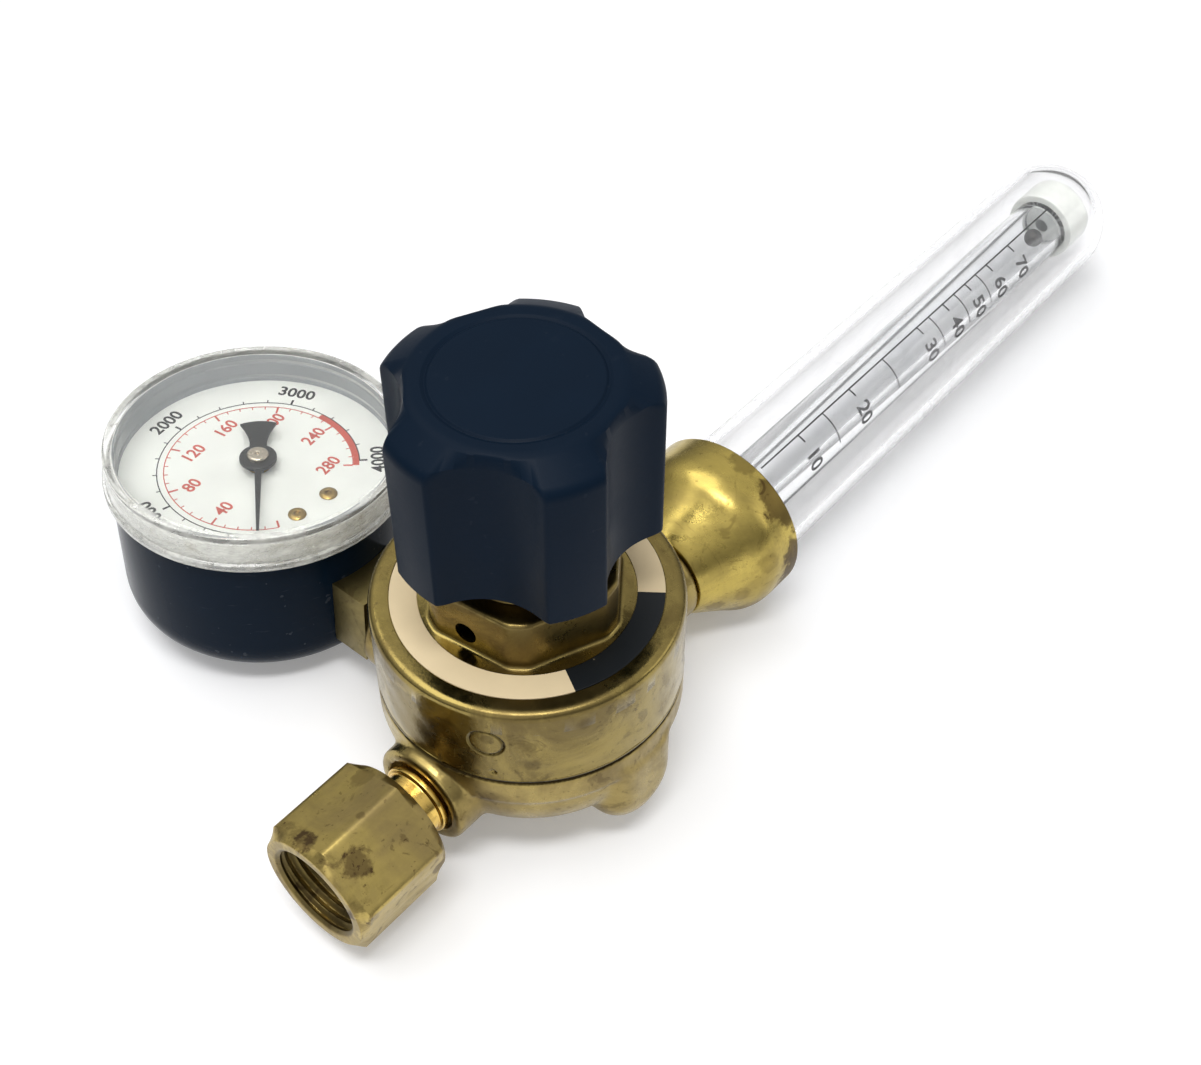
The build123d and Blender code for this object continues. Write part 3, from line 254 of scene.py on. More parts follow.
class Wire:
    # an output socket; arithmetic on it adds Math nodes to its tree
    def __init__(self, nodes, socket):
        self.nodes, self.socket = nodes, socket

    def math(self, operation, *others):
        return self.nodes.add("Math", dict(enumerate((self, *others))), operation=operation)

    def __add__(self, other):
        return self.math("ADD", other)

    __radd__ = __add__

    def __sub__(self, other):
        return self.math("SUBTRACT", other)

    def __rsub__(self, other):
        return self.nodes.add("Math", {0: other, 1: self}, operation="SUBTRACT")

    def __mul__(self, other):
        return self.math("MULTIPLY", other)

    __rmul__ = __mul__

    def __truediv__(self, other):
        return self.math("DIVIDE", other)

    def __pow__(self, other):
        return self.math("POWER", other)

    def __gt__(self, other):
        return self.math("GREATER_THAN", other)

    def __lt__(self, other):
        return self.math("LESS_THAN", other)

    def clamped(self):
        return self.nodes.add("Clamp", {0: self})

    def between(self, low, high):
        # 0 below low, 1 above high, smooth in between
        values = {0: self, 1: low, 2: high, 3: 0.0, 4: 1.0}
        return self.nodes.add("MapRange", values, interpolation_type="SMOOTHSTEP")


class Nodes:
    # a node tree, emptied and then filled by one method
    def __init__(self, tree):
        self.tree = tree
        tree.nodes.clear()

    def add(self, kind, values, output=0, **settings):
        node = self.tree.nodes.new("ShaderNode" + kind)
        for key, value in settings.items():
            setattr(node, key, value)
        for key, value in values.items():
            self.plug(node.inputs[key], value)
        return Wire(self, node.outputs[output])

    def plug(self, socket, value):
        if isinstance(value, Wire):
            self.tree.links.new(value.socket, socket)
        elif isinstance(value, (tuple, list)) and len(value) == 3 and socket.type == "RGBA":
            socket.default_value = (*value, 1)
        else:
            socket.default_value = value


class Finish(Nodes):
    # a material made of one Principled shader and the nodes that feed it
    def __init__(self, name, **fixed):
        self.material = bpy.data.materials.new(name)
        self.material.use_nodes = True
        super().__init__(self.material.node_tree)
        self.output = self.tree.nodes.new("ShaderNodeOutputMaterial")
        self.shader = self.tree.nodes.new("ShaderNodeBsdfPrincipled")
        self.tree.links.new(self.shader.outputs[0], self.output.inputs[0])
        self.place = self.add("TexCoord", {}, "Object")
        self.feed(**fixed)

    def feed(self, **values):
        names = {
            "colour": "Base Color", "roughness": "Roughness", "metallic": "Metallic", "normal": "Normal",
            "ior": "IOR", "transmission": "Transmission Weight", "specular": "Specular IOR Level",
            "glow": "Emission Color", "glowStrength": "Emission Strength",
        }
        for key, value in values.items():
            self.plug(self.shader.inputs[names[key]], value)

    def film(self, share, colour):
        # lays a milky film over the shader, which takes a share of it
        milk = self.add("BsdfDiffuse", {0: colour, 1: 0.6})
        under = Wire(self, self.shader.outputs[0])
        blend = self.add("MixShader", {0: share, 1: under, 2: milk})
        self.plug(self.output.inputs[0], blend)

    def noise(self, scale, detail, roughness, stretch=(1, 1, 1), offset=0.0, distortion=0.0):
        # cloud noise on object coordinates; scale counts features in a metre
        move = {0: self.place, "Scale": stretch, "Location": (offset, offset * 0.7, -offset * 0.4)}
        where = self.add("Mapping", move)
        values = {"Vector": where, "Scale": scale, "Detail": detail, "Roughness": roughness, "Distortion": distortion}
        return self.add("TexNoise", values)

    def mix(self, factor, a, b):
        return self.add("Mix", {0: factor, 6: a, 7: b}, 2, data_type="RGBA")

    def part(self, axis):
        # one object coordinate, in millimetres
        return self.add("SeparateXYZ", {0: self.place}, axis) * 1000.0

    def distance(self, x, y, z):
        # distance from a point, in millimetres
        values = {0: self.place, 1: (x * mm, y * mm, z * mm)}
        return self.add("VectorMath", values, 1, operation="DISTANCE") * 1000.0

    def bump(self, height, strength, depth):
        # height 0 to 1 stands for depth in millimetres
        return self.add("Bump", {"Height": height, "Strength": strength, "Distance": depth * mm})


def brass(name, colour, dark, rough=(0.24, 0.5), stain=0.5, grain=0.02, seed=0.0, patches=(), pitted=0.35,
          streak=None, bands=(), bore=None, ring=None):
    # tarnished brass: broad clouds between bright and dull metal, torn brown spots where a fine cloud passes a level,
    # a grain in the bump; patches are (x, y, z, radius, strength) of heavier stains and of painted shade, bands are
    # (z, half width, strength) of dark lines, streak is a stretch for drawn marks, bore is (y, z, radius) of painted
    # shade inside a hole along x, and ring is (x, y, z, radius, half width) of a dark circle
    f = Finish(name, metallic=1.0)
    cloud = f.noise(48, 6, 0.66, offset=seed, distortion=0.6)
    fine = f.noise(380, 5, 0.66, offset=seed + 1)
    spots = f.noise(170, 6, 0.62, offset=seed + 2, distortion=1.4).between(0.58, 0.66) * pitted
    specks = f.noise(900, 3, 0.6, offset=seed + 3).between(0.64, 0.70) * pitted
    dull = cloud.between(0.36, 0.64) * stain + (fine - 0.5) * 0.5 * stain
    lines = 0.0
    if streak:
        lines = f.noise(260, 5, 0.7, stretch=streak, offset=seed + 4)
        dull = dull + (lines - 0.5) * 0.9
        lines = lines.between(0.66, 0.74) * 0.6
    dull = dull.clamped()
    deep = (spots + specks + lines).clamped()
    for x, y, z, radius, strength in patches:
        edge = (f.distance(x, y, z) + (fine - 0.5) * radius * 1.6 + (cloud - 0.5) * radius * 2.2) / radius
        deep = (deep + (1.0 - edge.between(0.6, 1.0)) * strength).clamped()
    grimeAndShade = 0.0
    for level, half, strength in bands:
        away = (f.part(2) - level).math("ABSOLUTE")
        grimeAndShade = grimeAndShade + (1.0 - away.between(half * 0.6, half + 0.3)) * strength
    if ring:
        x, y, z, radius, half = ring
        away = (f.distance(x, y, z) - radius).math("ABSOLUTE")
        grimeAndShade = grimeAndShade + (1.0 - away.between(half * 0.4, half)) * (0.35 + fine * 0.6)
    # painted shade: the bore mask darkens the inside of a hole along x and the mouth of its thread
    if bore:
        y, z, radius = bore
        out = ((f.part(1) - y) ** 2.0 + (f.part(2) - z) ** 2.0).math("SQRT")
        grimeAndShade = grimeAndShade + (1.0 - out.between(radius - 0.2, radius + 0.3)) * 0.6
    pale = f.mix(fine, tuple(c * 0.82 for c in colour), tuple(min(1, c * 1.2) for c in colour))
    brown = tuple(c * k for c, k in zip(dark, (0.42, 0.36, 0.34)))
    f.feed(
        colour=f.mix(grimeAndShade, f.mix(deep, f.mix(dull, pale, dark), brown), tuple(c * 0.25 for c in brown)),
        roughness=(rough[0] + (rough[1] - rough[0]) * dull + deep * 0.15 + (fine - 0.5) * 0.2).clamped(),
        normal=f.bump(f.noise(900, 3, 0.7, offset=seed) * 0.4 + fine * 0.6, 0.9, grain),
    )
    return f.material


def plastic(name, colour, rough=0.38, grain=0.015, scuff=0.25, specular=0.3, seed=0.0):
    # moulded plastic or paint: faint mottling, fine texture, pale scuffs and a few worn specks
    f = Finish(name, specular=specular)
    fine = f.noise(1500, 3, 0.6, offset=seed)
    cloud = f.noise(90, 3, 0.5, offset=seed)
    scratch = f.noise(150, 3, 0.6, stretch=(1, 1, 7), offset=seed).between(0.64, 0.74) * scuff
    speck = f.noise(520, 2, 0.5, offset=seed + 1).between(0.71, 0.74) * scuff
    worn = (scratch * 0.5 + speck).clamped()
    rubbed = tuple(c * 1.5 + 0.06 for c in colour)
    f.feed(
        colour=f.mix(worn, f.mix(cloud, tuple(c * 0.9 for c in colour), tuple(c * 1.15 for c in colour)), rubbed),
        roughness=(rough + (cloud - 0.5) * 0.16 + (fine - 0.5) * 0.08 + worn * 0.2).clamped(),
        normal=f.bump(fine, 0.5, grain),
    )
    return f.material


def steel(name, colour=(0.55, 0.55, 0.56), rough=0.3):
    # plated steel, faintly drawn along z
    f = Finish(name, metallic=1.0)
    fine = f.noise(700, 3, 0.6, stretch=(1, 1, 6))
    f.feed(
        colour=f.mix(fine, tuple(c * 0.85 for c in colour), colour),
        roughness=rough + (fine - 0.5) * 0.2,
        normal=f.bump(fine, 0.3, 0.01),
    )
    return f.material


def clear(name, colour, rough, scuff, ior, haze, film):
    # clear plastic, rubbed here and there; haze is the share of milky film on clean and on rubbed ground
    f = Finish(name, transmission=1.0, ior=ior, colour=colour)
    cloud = f.noise(70, 4, 0.6)
    rub = (cloud.between(0.5, 0.72) + f.noise(420, 4, 0.7, offset=1).between(0.62, 0.7) * 0.6).clamped()
    f.feed(roughness=(rough + rub * scuff).clamped())
    f.film(haze[0] + (haze[1] - haze[0]) * rub, film)
    return f.material


def gaugeReach(f):
    # distance from the gauge's leaning axis
    lean = math.tan(math.radians(shared["gaugeTurn"]))
    across = f.part(0) - shared["gaugeX"] - (f.part(2) - shared["inletHigh"]) * lean
    return (across ** 2.0 + (f.part(1) - shared["gaugeY"]) ** 2.0).math("SQRT")


def spacerRing(name, inner, outer, edge):
    # ring that is dull grey inside an edge radius and white outside it; the white outer face, seen through the near
    # lens wall, is a painted highlight
    f = Finish(name, specular=0.5)
    cloud = f.noise(160, 4, 0.6, (1, 1, 4))
    f.feed(
        colour=f.mix(gaugeReach(f).between(edge - 0.1, edge + 0.1), inner, outer),
        roughness=0.16 + cloud * 0.12,
    )
    return f.material


def lensPlastic(name, reach, film):
    # clear cap whose wall, beyond a reach from its axis, is milky and streaked with brown dirt; the milky film on the
    # wall is partly haze and partly a painted highlight
    f = Finish(name, transmission=1.0, ior=1.45)
    cloud = f.noise(110, 5, 0.7, (1, 1, 3))
    wall = gaugeReach(f).between(reach - 0.4, reach + 0.3)
    dirt = f.noise(300, 5, 0.7, offset=2).between(0.56, 0.72)
    f.feed(
        colour=f.mix(dirt * wall * 0.8, (0.99, 0.995, 0.985), (0.50, 0.46, 0.33)),
        roughness=(0.03 + wall * 0.08 + cloud.between(0.6, 0.75) * 0.04).clamped(),
    )
    # partly painted highlight: the milky film laid over the wall
    f.film(0.015 + wall * (0.16 + cloud.between(0.4, 0.7) * 0.3), film)
    return f.material


# heavier patches for the brass finishes: real stains, and painted shade where the cup's underside and the bonnet's
# left side are darkened; the first nut patch darkens the nut's whole front face
stainsAndShade = {
    "nut": [(-62, 0, 16.6, 13.6, 0.5), (-37.5, 4, 27, 2.2, 0.5), (-50, -5, 25, 3.4, 0.75), (-47, -7.5, 22, 2.0, 0.7),
            (-53, 2, 28, 2.0, 0.6), (-36, -8, 22, 2.2, 0.8), (-36, -11, 14, 2.2, 0.7), (-53.5, -9.0, 20, 1.6, 0.8),
            (-44, -2, 29, 1.2, 0.5)],
    # the first cup patch, under the cup, is painted shade with some tarnish; the patches at the rim are stains
    "cup": [(50, -12, 6, 8.0, 0.55), (57, -19, 14, 6.0, 0.8), (57.5, -12, 30, 5.0, 0.85), (57.8, -17, 18, 5.5, 0.9),
            (55, -16, 12, 4.0, 0.6), (50, -17, 22, 3.0, 0.35), (45, -15, 15, 2.6, 0.4), (58, -4, 35, 3.0, 0.5),
            (41, -11, 13, 2.4, 0.5)],
    "body": [(-24, -12, 22, 3, 0.4), (12, -24, 8, 4, 0.4), (4, -24, 20, 3, 0.3), (-16, -20, 12, 3, 0.35)],
    # the three bonnet patches near x = -27 are painted shade on the bonnet's left side, partly stains
    "bonnet": [(-27, 4, 36, 6.0, 0.4), (-27, -8, 31, 5.0, 0.4), (-20, -18, 33, 2.2, 0.45), (-26, -6, 38, 3.0, 0.4),
               (-13, -24, 42, 2.2, 0.35), (14, -23, 36, 3.0, 0.35), (-24.5, -12.5, 39, 1.6, 0.35)],
}
castBrass = brass("cast_brass", (0.36, 0.275, 0.095), (0.16, 0.115, 0.045), (0.26, 0.46), 0.75, 0.08, 0.3,
                  stainsAndShade["body"], bands=[(27.35, 0.35, 0.95)])
forgedBrass = brass("forged_brass", (0.30, 0.23, 0.073), (0.11, 0.078, 0.029), (0.17, 0.38), 0.8, 0.07, 0.9,
                    stainsAndShade["bonnet"], bands=[(27.75, 0.3, 0.95)], ring=(-24.55, -12.40, 37.9, 3.0, 0.55))
nutBrass = brass("nut_brass", (0.46, 0.35, 0.11), (0.22, 0.165, 0.075), (0.30, 0.5), 0.75, 0.05, 1.7,
                 stainsAndShade["nut"], 0.5, (0.12, 1, 1), bore=(0, shared["inletHigh"], 9.3))
cupBrass = brass("cup_brass", (0.50, 0.385, 0.10), (0.22, 0.165, 0.055), (0.22, 0.44), 0.6, 0.03, 2.6,
                 stainsAndShade["cup"], 0.35, (1, 0.15, 0.15))
brightBrass = brass("bright_brass", (0.80, 0.55, 0.14), (0.48, 0.31, 0.09), (0.14, 0.3), 0.35, 0.01, 3.1)
plainBrass = brass("plain_brass", (0.55, 0.41, 0.13), (0.32, 0.23, 0.08), (0.24, 0.4), 0.5, 0.03, 3.9)
blockBrass = brass("block_brass", (0.24, 0.19, 0.07), (0.12, 0.095, 0.04), (0.32, 0.5), 0.7, 0.04, 4.4)
knobPlastic = plastic("knob_plastic", (0.0026, 0.0085, 0.0190), 0.42, 0.02, 0.06, 0.055, 0.4)
casePaint = plastic("case_paint", (0.0026, 0.0090, 0.0200), 0.22, 0.012, 0.35, 0.055, 1.4)
pointerPaint = plastic("pointer_paint", (0.006, 0.008, 0.011), 0.4, 0.01, 0.0)
rubberBlack = plastic("seal_rubber", (0.015, 0.015, 0.015), 0.6, 0.03, 0.1)
palePlastic = plastic("pale_plastic", (0.95, 0.97, 0.92), 0.35, 0.02, 0.0)
rivetBrass = brass("rivet_brass", (0.36, 0.24, 0.07), (0.16, 0.10, 0.035), (0.3, 0.5), 0.6, 0.02, 5.2)
spacerGreyAndHighlight = spacerRing("spacer_plastic", (0.36, 0.38, 0.40), (0.97, 0.97, 0.93), 27.0)
plated = steel("plated_steel")
capMetal = steel("cap_metal", (0.62, 0.55, 0.44), 0.25)
springSteel = steel("spring_steel", (0.36, 0.37, 0.39), 0.35)
ballSteel = steel("ball_steel", (0.05, 0.045, 0.04), 0.10)
coverClear = clear("cover_plastic", (0.995, 0.995, 0.995), 0.015, 0.02, 1.33, (0.010, 0.075), (0.95, 0.94, 0.96))
meterClear = clear("meter_plastic", (0.985, 0.99, 0.995), 0.02, 0.03, 1.36, (0.035, 0.11), (0.66, 0.70, 0.74))
lensClear = lensPlastic("lens_plastic", 27.2, (1.0, 1.0, 0.95))
dialPaint = plastic("dial_paint", (0.97, 0.98, 0.93), 0.5, 0.004, 0.0)
inkBlack = plastic("ink_black", (0.010, 0.010, 0.012), 0.5, 0.0, 0.0)
inkRed = plastic("ink_red", (0.62, 0.10, 0.07), 0.5, 0.0, 0.0)
print("finishes ready")


def ringPrint(name, cream, black, edges):
    # printed ring: a black block between two angles, cream elsewhere, rubbed at random
    f = Finish(name, specular=0.22)
    angle = f.part(1).math("ARCTAN2", f.part(0)) * (180 / math.pi)
    block = (angle > edges[0]) * (angle < edges[1])
    cloud = f.noise(130, 4, 0.6)
    rub = f.noise(500, 4, 0.7, offset=2).between(0.66, 0.74) * 0.5
    paper = f.mix(cloud, cream, tuple(c * 0.86 for c in cream))
    inked = f.mix(rub * block, f.mix(block, paper, black), tuple(c * 0.55 for c in cream))
    f.feed(colour=inked, roughness=0.42 + (cloud - 0.5) * 0.2, normal=f.bump(cloud, 0.2, 0.02))
    return f.material


labelPrint = ringPrint("ring_print", (0.80, 0.65, 0.41), (0.007, 0.009, 0.011), (-118.9, -52.25))


# ---------- camera, floor and light

view = {
    "place": (-138.84, -134.34, 267.75), "right": (0.64592, -0.76340, -0.00154), "up": (0.56018, 0.47259, 0.68034),
    "back": (-0.51864, -0.44031, 0.73290), "focal": 1714.36, "width": 1201, "sensor": 36.0,
}
lens = bpy.data.cameras.new("view")
lens.sensor_fit = "HORIZONTAL"
lens.sensor_width = view["sensor"]
lens.lens = view["sensor"] * view["focal"] / view["width"]
lens.clip_start = 0.01
lens.clip_end = 20
eye = linked("view", lens)
rows = zip(zip(view["right"], view["up"], view["back"]), view["place"])
eye.matrix_world = Matrix([(*row, shift * mm) for row, shift in rows] + [(0, 0, 0, 1)])
scene.camera = eye
scene.view_settings.view_transform = "Standard"

light = {
    "sky": (0.98, 0.99, 1.0), "ambient": 0.35, "whiteSky": (0.8, 0.8, 0.8), "white": 1.0, "horizon": 0.20,
    "whiteFrom": 0.75, "backdrop": 1.25, "floor": (0.86, 0.86, 0.87), "floorGlow": 0.19, "farGlow": 3.6,
    "farFrom": 0.4, "farTo": 1.2, "floorReach": 3.0, "key": 4.0, "side": 1.0, "rim": 0.7, "front": 4.2,
}
seenBy = ("Is Camera Ray", "Is Glossy Ray", "Is Transmission Ray")

# world: plain ambient light, white for the eye, and white for gloss and clear plastic but dimmer near the horizon
world = bpy.data.worlds.new("studio")
scene.world = world
world.use_nodes = True
sky = Nodes(world.node_tree)
direction = sky.add("TexCoord", {}, "Generated")
upness = sky.add("SeparateXYZ", {0: direction}, 2)
gradient = light["horizon"] + upness.between(0.0, light["whiteFrom"]) * (light["white"] - light["horizon"])
toEye, toGloss, toClear = (sky.add("LightPath", {}, kind) for kind in seenBy)
ambient = sky.add("Background", {0: light["sky"], 1: light["ambient"]})
strength = gradient.math("MAXIMUM", toEye * light["backdrop"])
white = sky.add("Background", {0: light["whiteSky"], 1: strength})
seen = toEye.math("MAXIMUM", toGloss).math("MAXIMUM", toClear)
skyMix = sky.add("MixShader", {0: seen, 1: ambient, 2: white})
sky.plug(sky.tree.nodes.new("ShaderNodeOutputWorld").inputs[0], skyMix)

# floor: pale paper that glows a little for the same rays, so that it turns white where no shadow falls; far from the
# object, where the lamps don't reach it, it glows more for the eye
paper = Finish("floor_paper", roughness=0.9, specular=0.1, colour=light["floor"], glowStrength=light["floorGlow"])
paths = [paper.add("LightPath", {}, kind) for kind in seenBy]
span = paper.add("VectorMath", {0: paper.place}, 1, operation="LENGTH")
far = paths[0] * span.between(light["farFrom"], light["farTo"])
paper.feed(glow=(paths[0] + paths[1] + paths[2]).clamped() + far * light["farGlow"])
reach = light["floorReach"]
floorMesh = bpy.data.meshes.new("floor")
corners = [(-reach, -reach, 0), (reach, -reach, 0), (reach, reach, 0), (-reach, reach, 0)]
floorMesh.from_pydata(corners, [], [(0, 1, 2, 3)])
floorMesh.materials.append(paper.material)
floor = linked("floor", floorMesh)


def lamp(name, place, aim, size):
    # a rectangular lamp in metres, turned to its aim
    data = bpy.data.lights.new(name, "AREA")
    data.shape = "RECTANGLE"
    data.size, data.size_y = size
    data.energy = light[name]
    back = np.array(place, float) - np.array(aim, float)
    back /= np.linalg.norm(back)
    right = np.cross((0, 0, 1), back)
    right /= np.linalg.norm(right)
    rows = zip(zip(right, np.cross(back, right), back), place)
    linked(name, data).matrix_world = Matrix([(*row, shift) for row, shift in rows] + [(0, 0, 0, 1)])


lamp("key", (-0.1, 0.25, 0.9), (0.03, 0, 0.03), (0.9, 0.7))
lamp("side", (-0.75, -0.35, 0.45), (0.03, 0, 0.03), (0.5, 0.5))
lamp("front", (-0.20, -0.19, 0.95), (0.0, 0, 0.04), (0.5, 0.15))
lamp("rim", (0.6, -0.55, 0.35), (0.03, 0, 0.03), (0.5, 0.4))
print("camera and light ready")

# ---------- regulator body and bonnet

bodySizes = {"cell": 0.5, "passes": 5}
bodyCast = cast("body", "body_casting", bodySizes["cell"], bodySizes["passes"])
keep(bodyCast, "frame", "body", castBrass, "body")

bonnetSizes = {
    "base": 27.75, "outer": 27.5, "shoulder": 46.0, "round": 4.0, "wallTop": 41.15, "flats": 31.8, "turned": 17.4,
    "phase": -142.55, "root": 1.3, "hexTop": 56.6, "neck": 12.6, "neckTop": 69.5, "bore": 4.8, "skirt": 24.5,
    "ringOut": 23.8, "ringIn": 18.8, "ringDeep": 0.2, "clamp": 35.2, "clear": 20.0, "clearTop": 38.3, "room": 10.2,
    "roomTop": 63.0, "ventAngle": -172.55, "ventHeight": 49.4, "ventShift": 1.3, "vent": 2.1, "ventDeep": 9.0,
    "stampAngle": -153.2, "stampHeight": 37.9, "stamp": 3.0, "stampDeep": 0.22, "stampWidth": 0.22,
    "stampFloor": 0.06, "pitAngle": -151.3, "pitHeight": 30.0, "pit": 0.5, "pitDeep": 0.45, "wave": 0.03,
    "ripple": 0.018, "sink": 0.05,
}
alongHexagon = 200.0


def bonnetRadius(angle, radius, height):
    # radii around alongHexagon stand for rows that follow the hexagon's side; the wall has a stamped ring, a pit and
    # hammered hollows
    s = Values(**bonnetSizes)
    side = hexagon(angle, s.flats, math.radians(s.phase), s.turned)
    turn = (angle + math.pi) % tau - math.pi
    stamp = np.hypot((turn - math.radians(s.stampAngle)) * s.outer, height - s.stampHeight)
    pit = np.hypot((turn - math.radians(s.pitAngle)) * s.outer, height - s.pitHeight)
    dent = s.stampDeep * np.exp(-(((stamp - s.stamp) / s.stampWidth) ** 2))
    dent = dent + s.stampFloor * (stamp < s.stamp) + s.pitDeep * np.exp(-((pit / s.pit) ** 2))
    waves = s.wave * np.sin(angle * 9 + height * 0.5) * np.sin(angle * 5 - height * 0.31)
    waves = waves + s.ripple * np.sin(angle * 23 + height * 0.9)
    wall = (radius > s.outer - 0.01) & (height < s.wallTop) & (height > s.base + 0.56)
    radius = np.where(wall, radius - dent - s.sink + waves, radius)
    return np.where(radius > alongHexagon / 2, side + radius - alongHexagon, radius)


s = Values(**bonnetSizes)
wallRows = np.stack([np.full(68, s.outer), np.linspace(s.base + 0.6, s.wallTop - 0.05, 68)], 1)
bonnetProfile = np.concatenate([
    rounded([(s.skirt, s.clamp, 0), (s.skirt, s.base, 0.2), (s.outer, s.base, 0.5),
             (s.outer, s.base + 0.55, 0)]),
    wallRows,
    rounded([
        (s.outer, s.wallTop, 0), (s.outer, s.shoulder, s.round * 1.2),
        (s.ringOut, s.shoulder, 0.1), (s.ringOut, s.shoulder - s.ringDeep, 0.02),
        (s.ringIn, s.shoulder - s.ringDeep, 0.02), (s.ringIn, s.shoulder, 0),
    ], 14),
    rounded([
        (alongHexagon + s.root + 0.6, s.shoulder, 0), (alongHexagon, s.shoulder, s.root),
        (alongHexagon, s.hexTop, 1.0), (alongHexagon - 2, s.hexTop, 0),
    ]),
    rounded([
        (s.neck + 1.2, s.hexTop, 0), (s.neck, s.hexTop, 0.5), (s.neck, s.neckTop, 0.8),
        (s.bore, s.neckTop, 0.4), (s.bore, s.roomTop, 0), (s.room, s.roomTop, 0.3),
        (s.room, s.clearTop, 0), (s.clear, s.clearTop, 0), (s.clear, s.clamp, 0),
        (s.skirt, s.clamp, 0),
    ]),
])
# columns stand closer together where the wall is stamped
stampTurn, stampSpan = math.radians(s.stampAngle), 0.2
nearTurns = np.linspace(stampTurn - stampSpan, stampTurn + stampSpan, 120, endpoint=False)
farTurns = np.linspace(stampTurn + stampSpan, stampTurn - stampSpan + tau, 330, endpoint=False)
bonnetTurns = np.concatenate([nearTurns, farTurns])
bonnetCap = meshOf("bonnet_cap", [lathe(bonnetProfile, closed=True, shape=bonnetRadius, turns=bonnetTurns)], 40)
ventTurn = math.radians(s.ventAngle)
outward = np.array([math.cos(ventTurn), math.sin(ventTurn), 0])
aside = np.array([-math.sin(ventTurn), math.cos(ventTurn), 0])
ventFoot = outward * (s.room - 1) - aside * s.ventShift + np.array([0, 0, s.ventHeight])
drillProfile = np.array([(0, 0), (s.vent, 0), (s.vent, s.ventDeep), (0, s.ventDeep)])
carve(bonnetCap, meshOf("drill", [lathe(drillProfile, axisFrame(ventFoot, outward, (0, 0, 1)), 48)]))
keep(bonnetCap, "frame", "bonnet", forgedBrass, "bonnet")

ringSizes = {"outer": 23.7, "inner": 18.9, "low": 45.8, "high": 46.1}
s = Values(**ringSizes)
ringProfile = rounded([
    (s.inner, s.low, 0), (s.outer, s.low, 0.02), (s.outer, s.high, 0.1),
    (s.inner, s.high, 0.1), (s.inner, s.low, 0),
])
printedRing = meshOf("printed_ring", [lathe(ringProfile, count=256, closed=True)])
keep(printedRing, "frame", "label", labelPrint, "label_ring")

# ---------- knob

knobSizes = {
    "top": 94.6, "bottom": 62.9, "radius": 22.8, "flat": 16.8, "corner": 91.3, "lands": 5, "landAngle": -115.55,
    "flute": 12.8, "depth": 5.3, "edge": 1.5, "uncut": 14.3, "ring": 14.1, "ringWidth": 0.55, "ringDeep": 0.35,
    "wall": 14.6, "roof": 84.0,
}
outOfReach = 1000.0


def knobRadius(angle, radius, height):
    # the smaller of the turned radius and the near side of the flute's circle, softly joined
    s = Values(**knobSizes)
    pitch = tau / s.lands
    turn = (angle - math.radians(s.landAngle)) % pitch - pitch / 2
    middle = s.radius - s.depth + s.flute
    reach = s.flute ** 2 - (middle * np.sin(turn)) ** 2
    near = middle * np.cos(turn) - np.sqrt(np.maximum(reach, 0))
    near = np.where(reach > 0, near, outOfReach)
    fluted = softMin(radius, near, s.edge)
    return np.where(radius > s.uncut, np.minimum(fluted, radius), radius)


s = Values(**knobSizes)
knobProfile = rounded([
    (0, s.top, 0), (s.ring - s.ringWidth, s.top, 0.1), (s.ring - 0.1, s.top - s.ringDeep, 0.15),
    (s.ring + s.ringWidth, s.top, 0.1), (s.flat, s.top, 1.0), (s.radius, s.corner, 1.6),
    (s.radius, (s.corner + s.bottom) / 2, 0), (s.radius, s.bottom, 0.5), (s.wall, s.bottom, 0.5),
    (s.wall, s.roof, 0.8), (0, s.roof, 0),
])
knobShell = meshOf("knob_shell", [lathe(knobProfile, count=480, shape=knobRadius)], 38)
keep(knobShell, "adjuster", "knob", knobPlastic, "knob")
print("body, bonnet and knob ready")

# ---------- inlet nipple and nut

inletPlace = axisFrame((0, 0, shared["inletHigh"]), (-1, 0, 0), (0, 1, 0))
nutSizes = {
    "back": 34.9, "front": 55.0, "flats": 23.0, "phase": 137.4, "blend": 0.12, "bore": 8.72, "depth": 0.83,
    "pitch": 1.9, "flank": 1.25, "crest": 0.1, "mouth": 0.6, "fadeOut": 0.8, "runOut": 1.5, "web": 39.9, "hole": 6.25,
    "face": 11.2, "slope": 40,
}


def nutRadius(angle, radius, height):
    # outer rows follow the hexagon; rows with a negative radius carry a helical V thread
    s = Values(**nutSizes)
    side = hexagon(angle, s.flats, math.radians(s.phase), s.flats / math.sqrt(3) - s.blend)
    outer = softMin(radius, side, s.blend)
    wave = np.abs(((height / s.pitch + angle / tau) % 1) * 2 - 1)
    cut = s.bore + s.depth * (1 - np.clip(wave * s.flank - s.crest, 0, 1))
    fade = np.clip((s.front - s.mouth - height) / s.fadeOut, 0, 1)
    fade = fade * np.clip(height - s.web - s.runOut, 0, 1)
    thread = s.bore + (cut - s.bore) * fade
    return np.where(radius < 0, thread, np.where(radius > s.bore + 1.2, outer, radius))


s = Values(**nutSizes)
cornerR = s.flats / math.sqrt(3)
slope = (cornerR - s.face) * math.tan(math.radians(s.slope))
threadRows = np.linspace(s.front - s.mouth, s.web + 0.3, 210)
nutProfile = np.concatenate([
    [(s.hole, s.back), (s.bore + 0.5, s.back)],
    rounded([
        (s.bore + 1.3, s.back, 0), (s.face, s.back, 0.15), (cornerR + 0.2, s.back + slope, 0.2),
        (cornerR + 0.2, s.front - slope, 0.2), (s.face, s.front, 0.15), (s.bore + 1.3, s.front, 0),
    ], 5),
    [(s.bore + 0.75, s.front), (s.bore + 0.45, s.front - 0.15)],
    np.stack([-np.ones_like(threadRows), threadRows], 1),
    [(s.bore, s.web), (s.hole, s.web)],
])
nutShell = meshOf("nut_shell", [lathe(nutProfile, inletPlace, 288, True, nutRadius)], 40)
keep(nutShell, "nut", "nut", nutBrass, "inlet_nut")

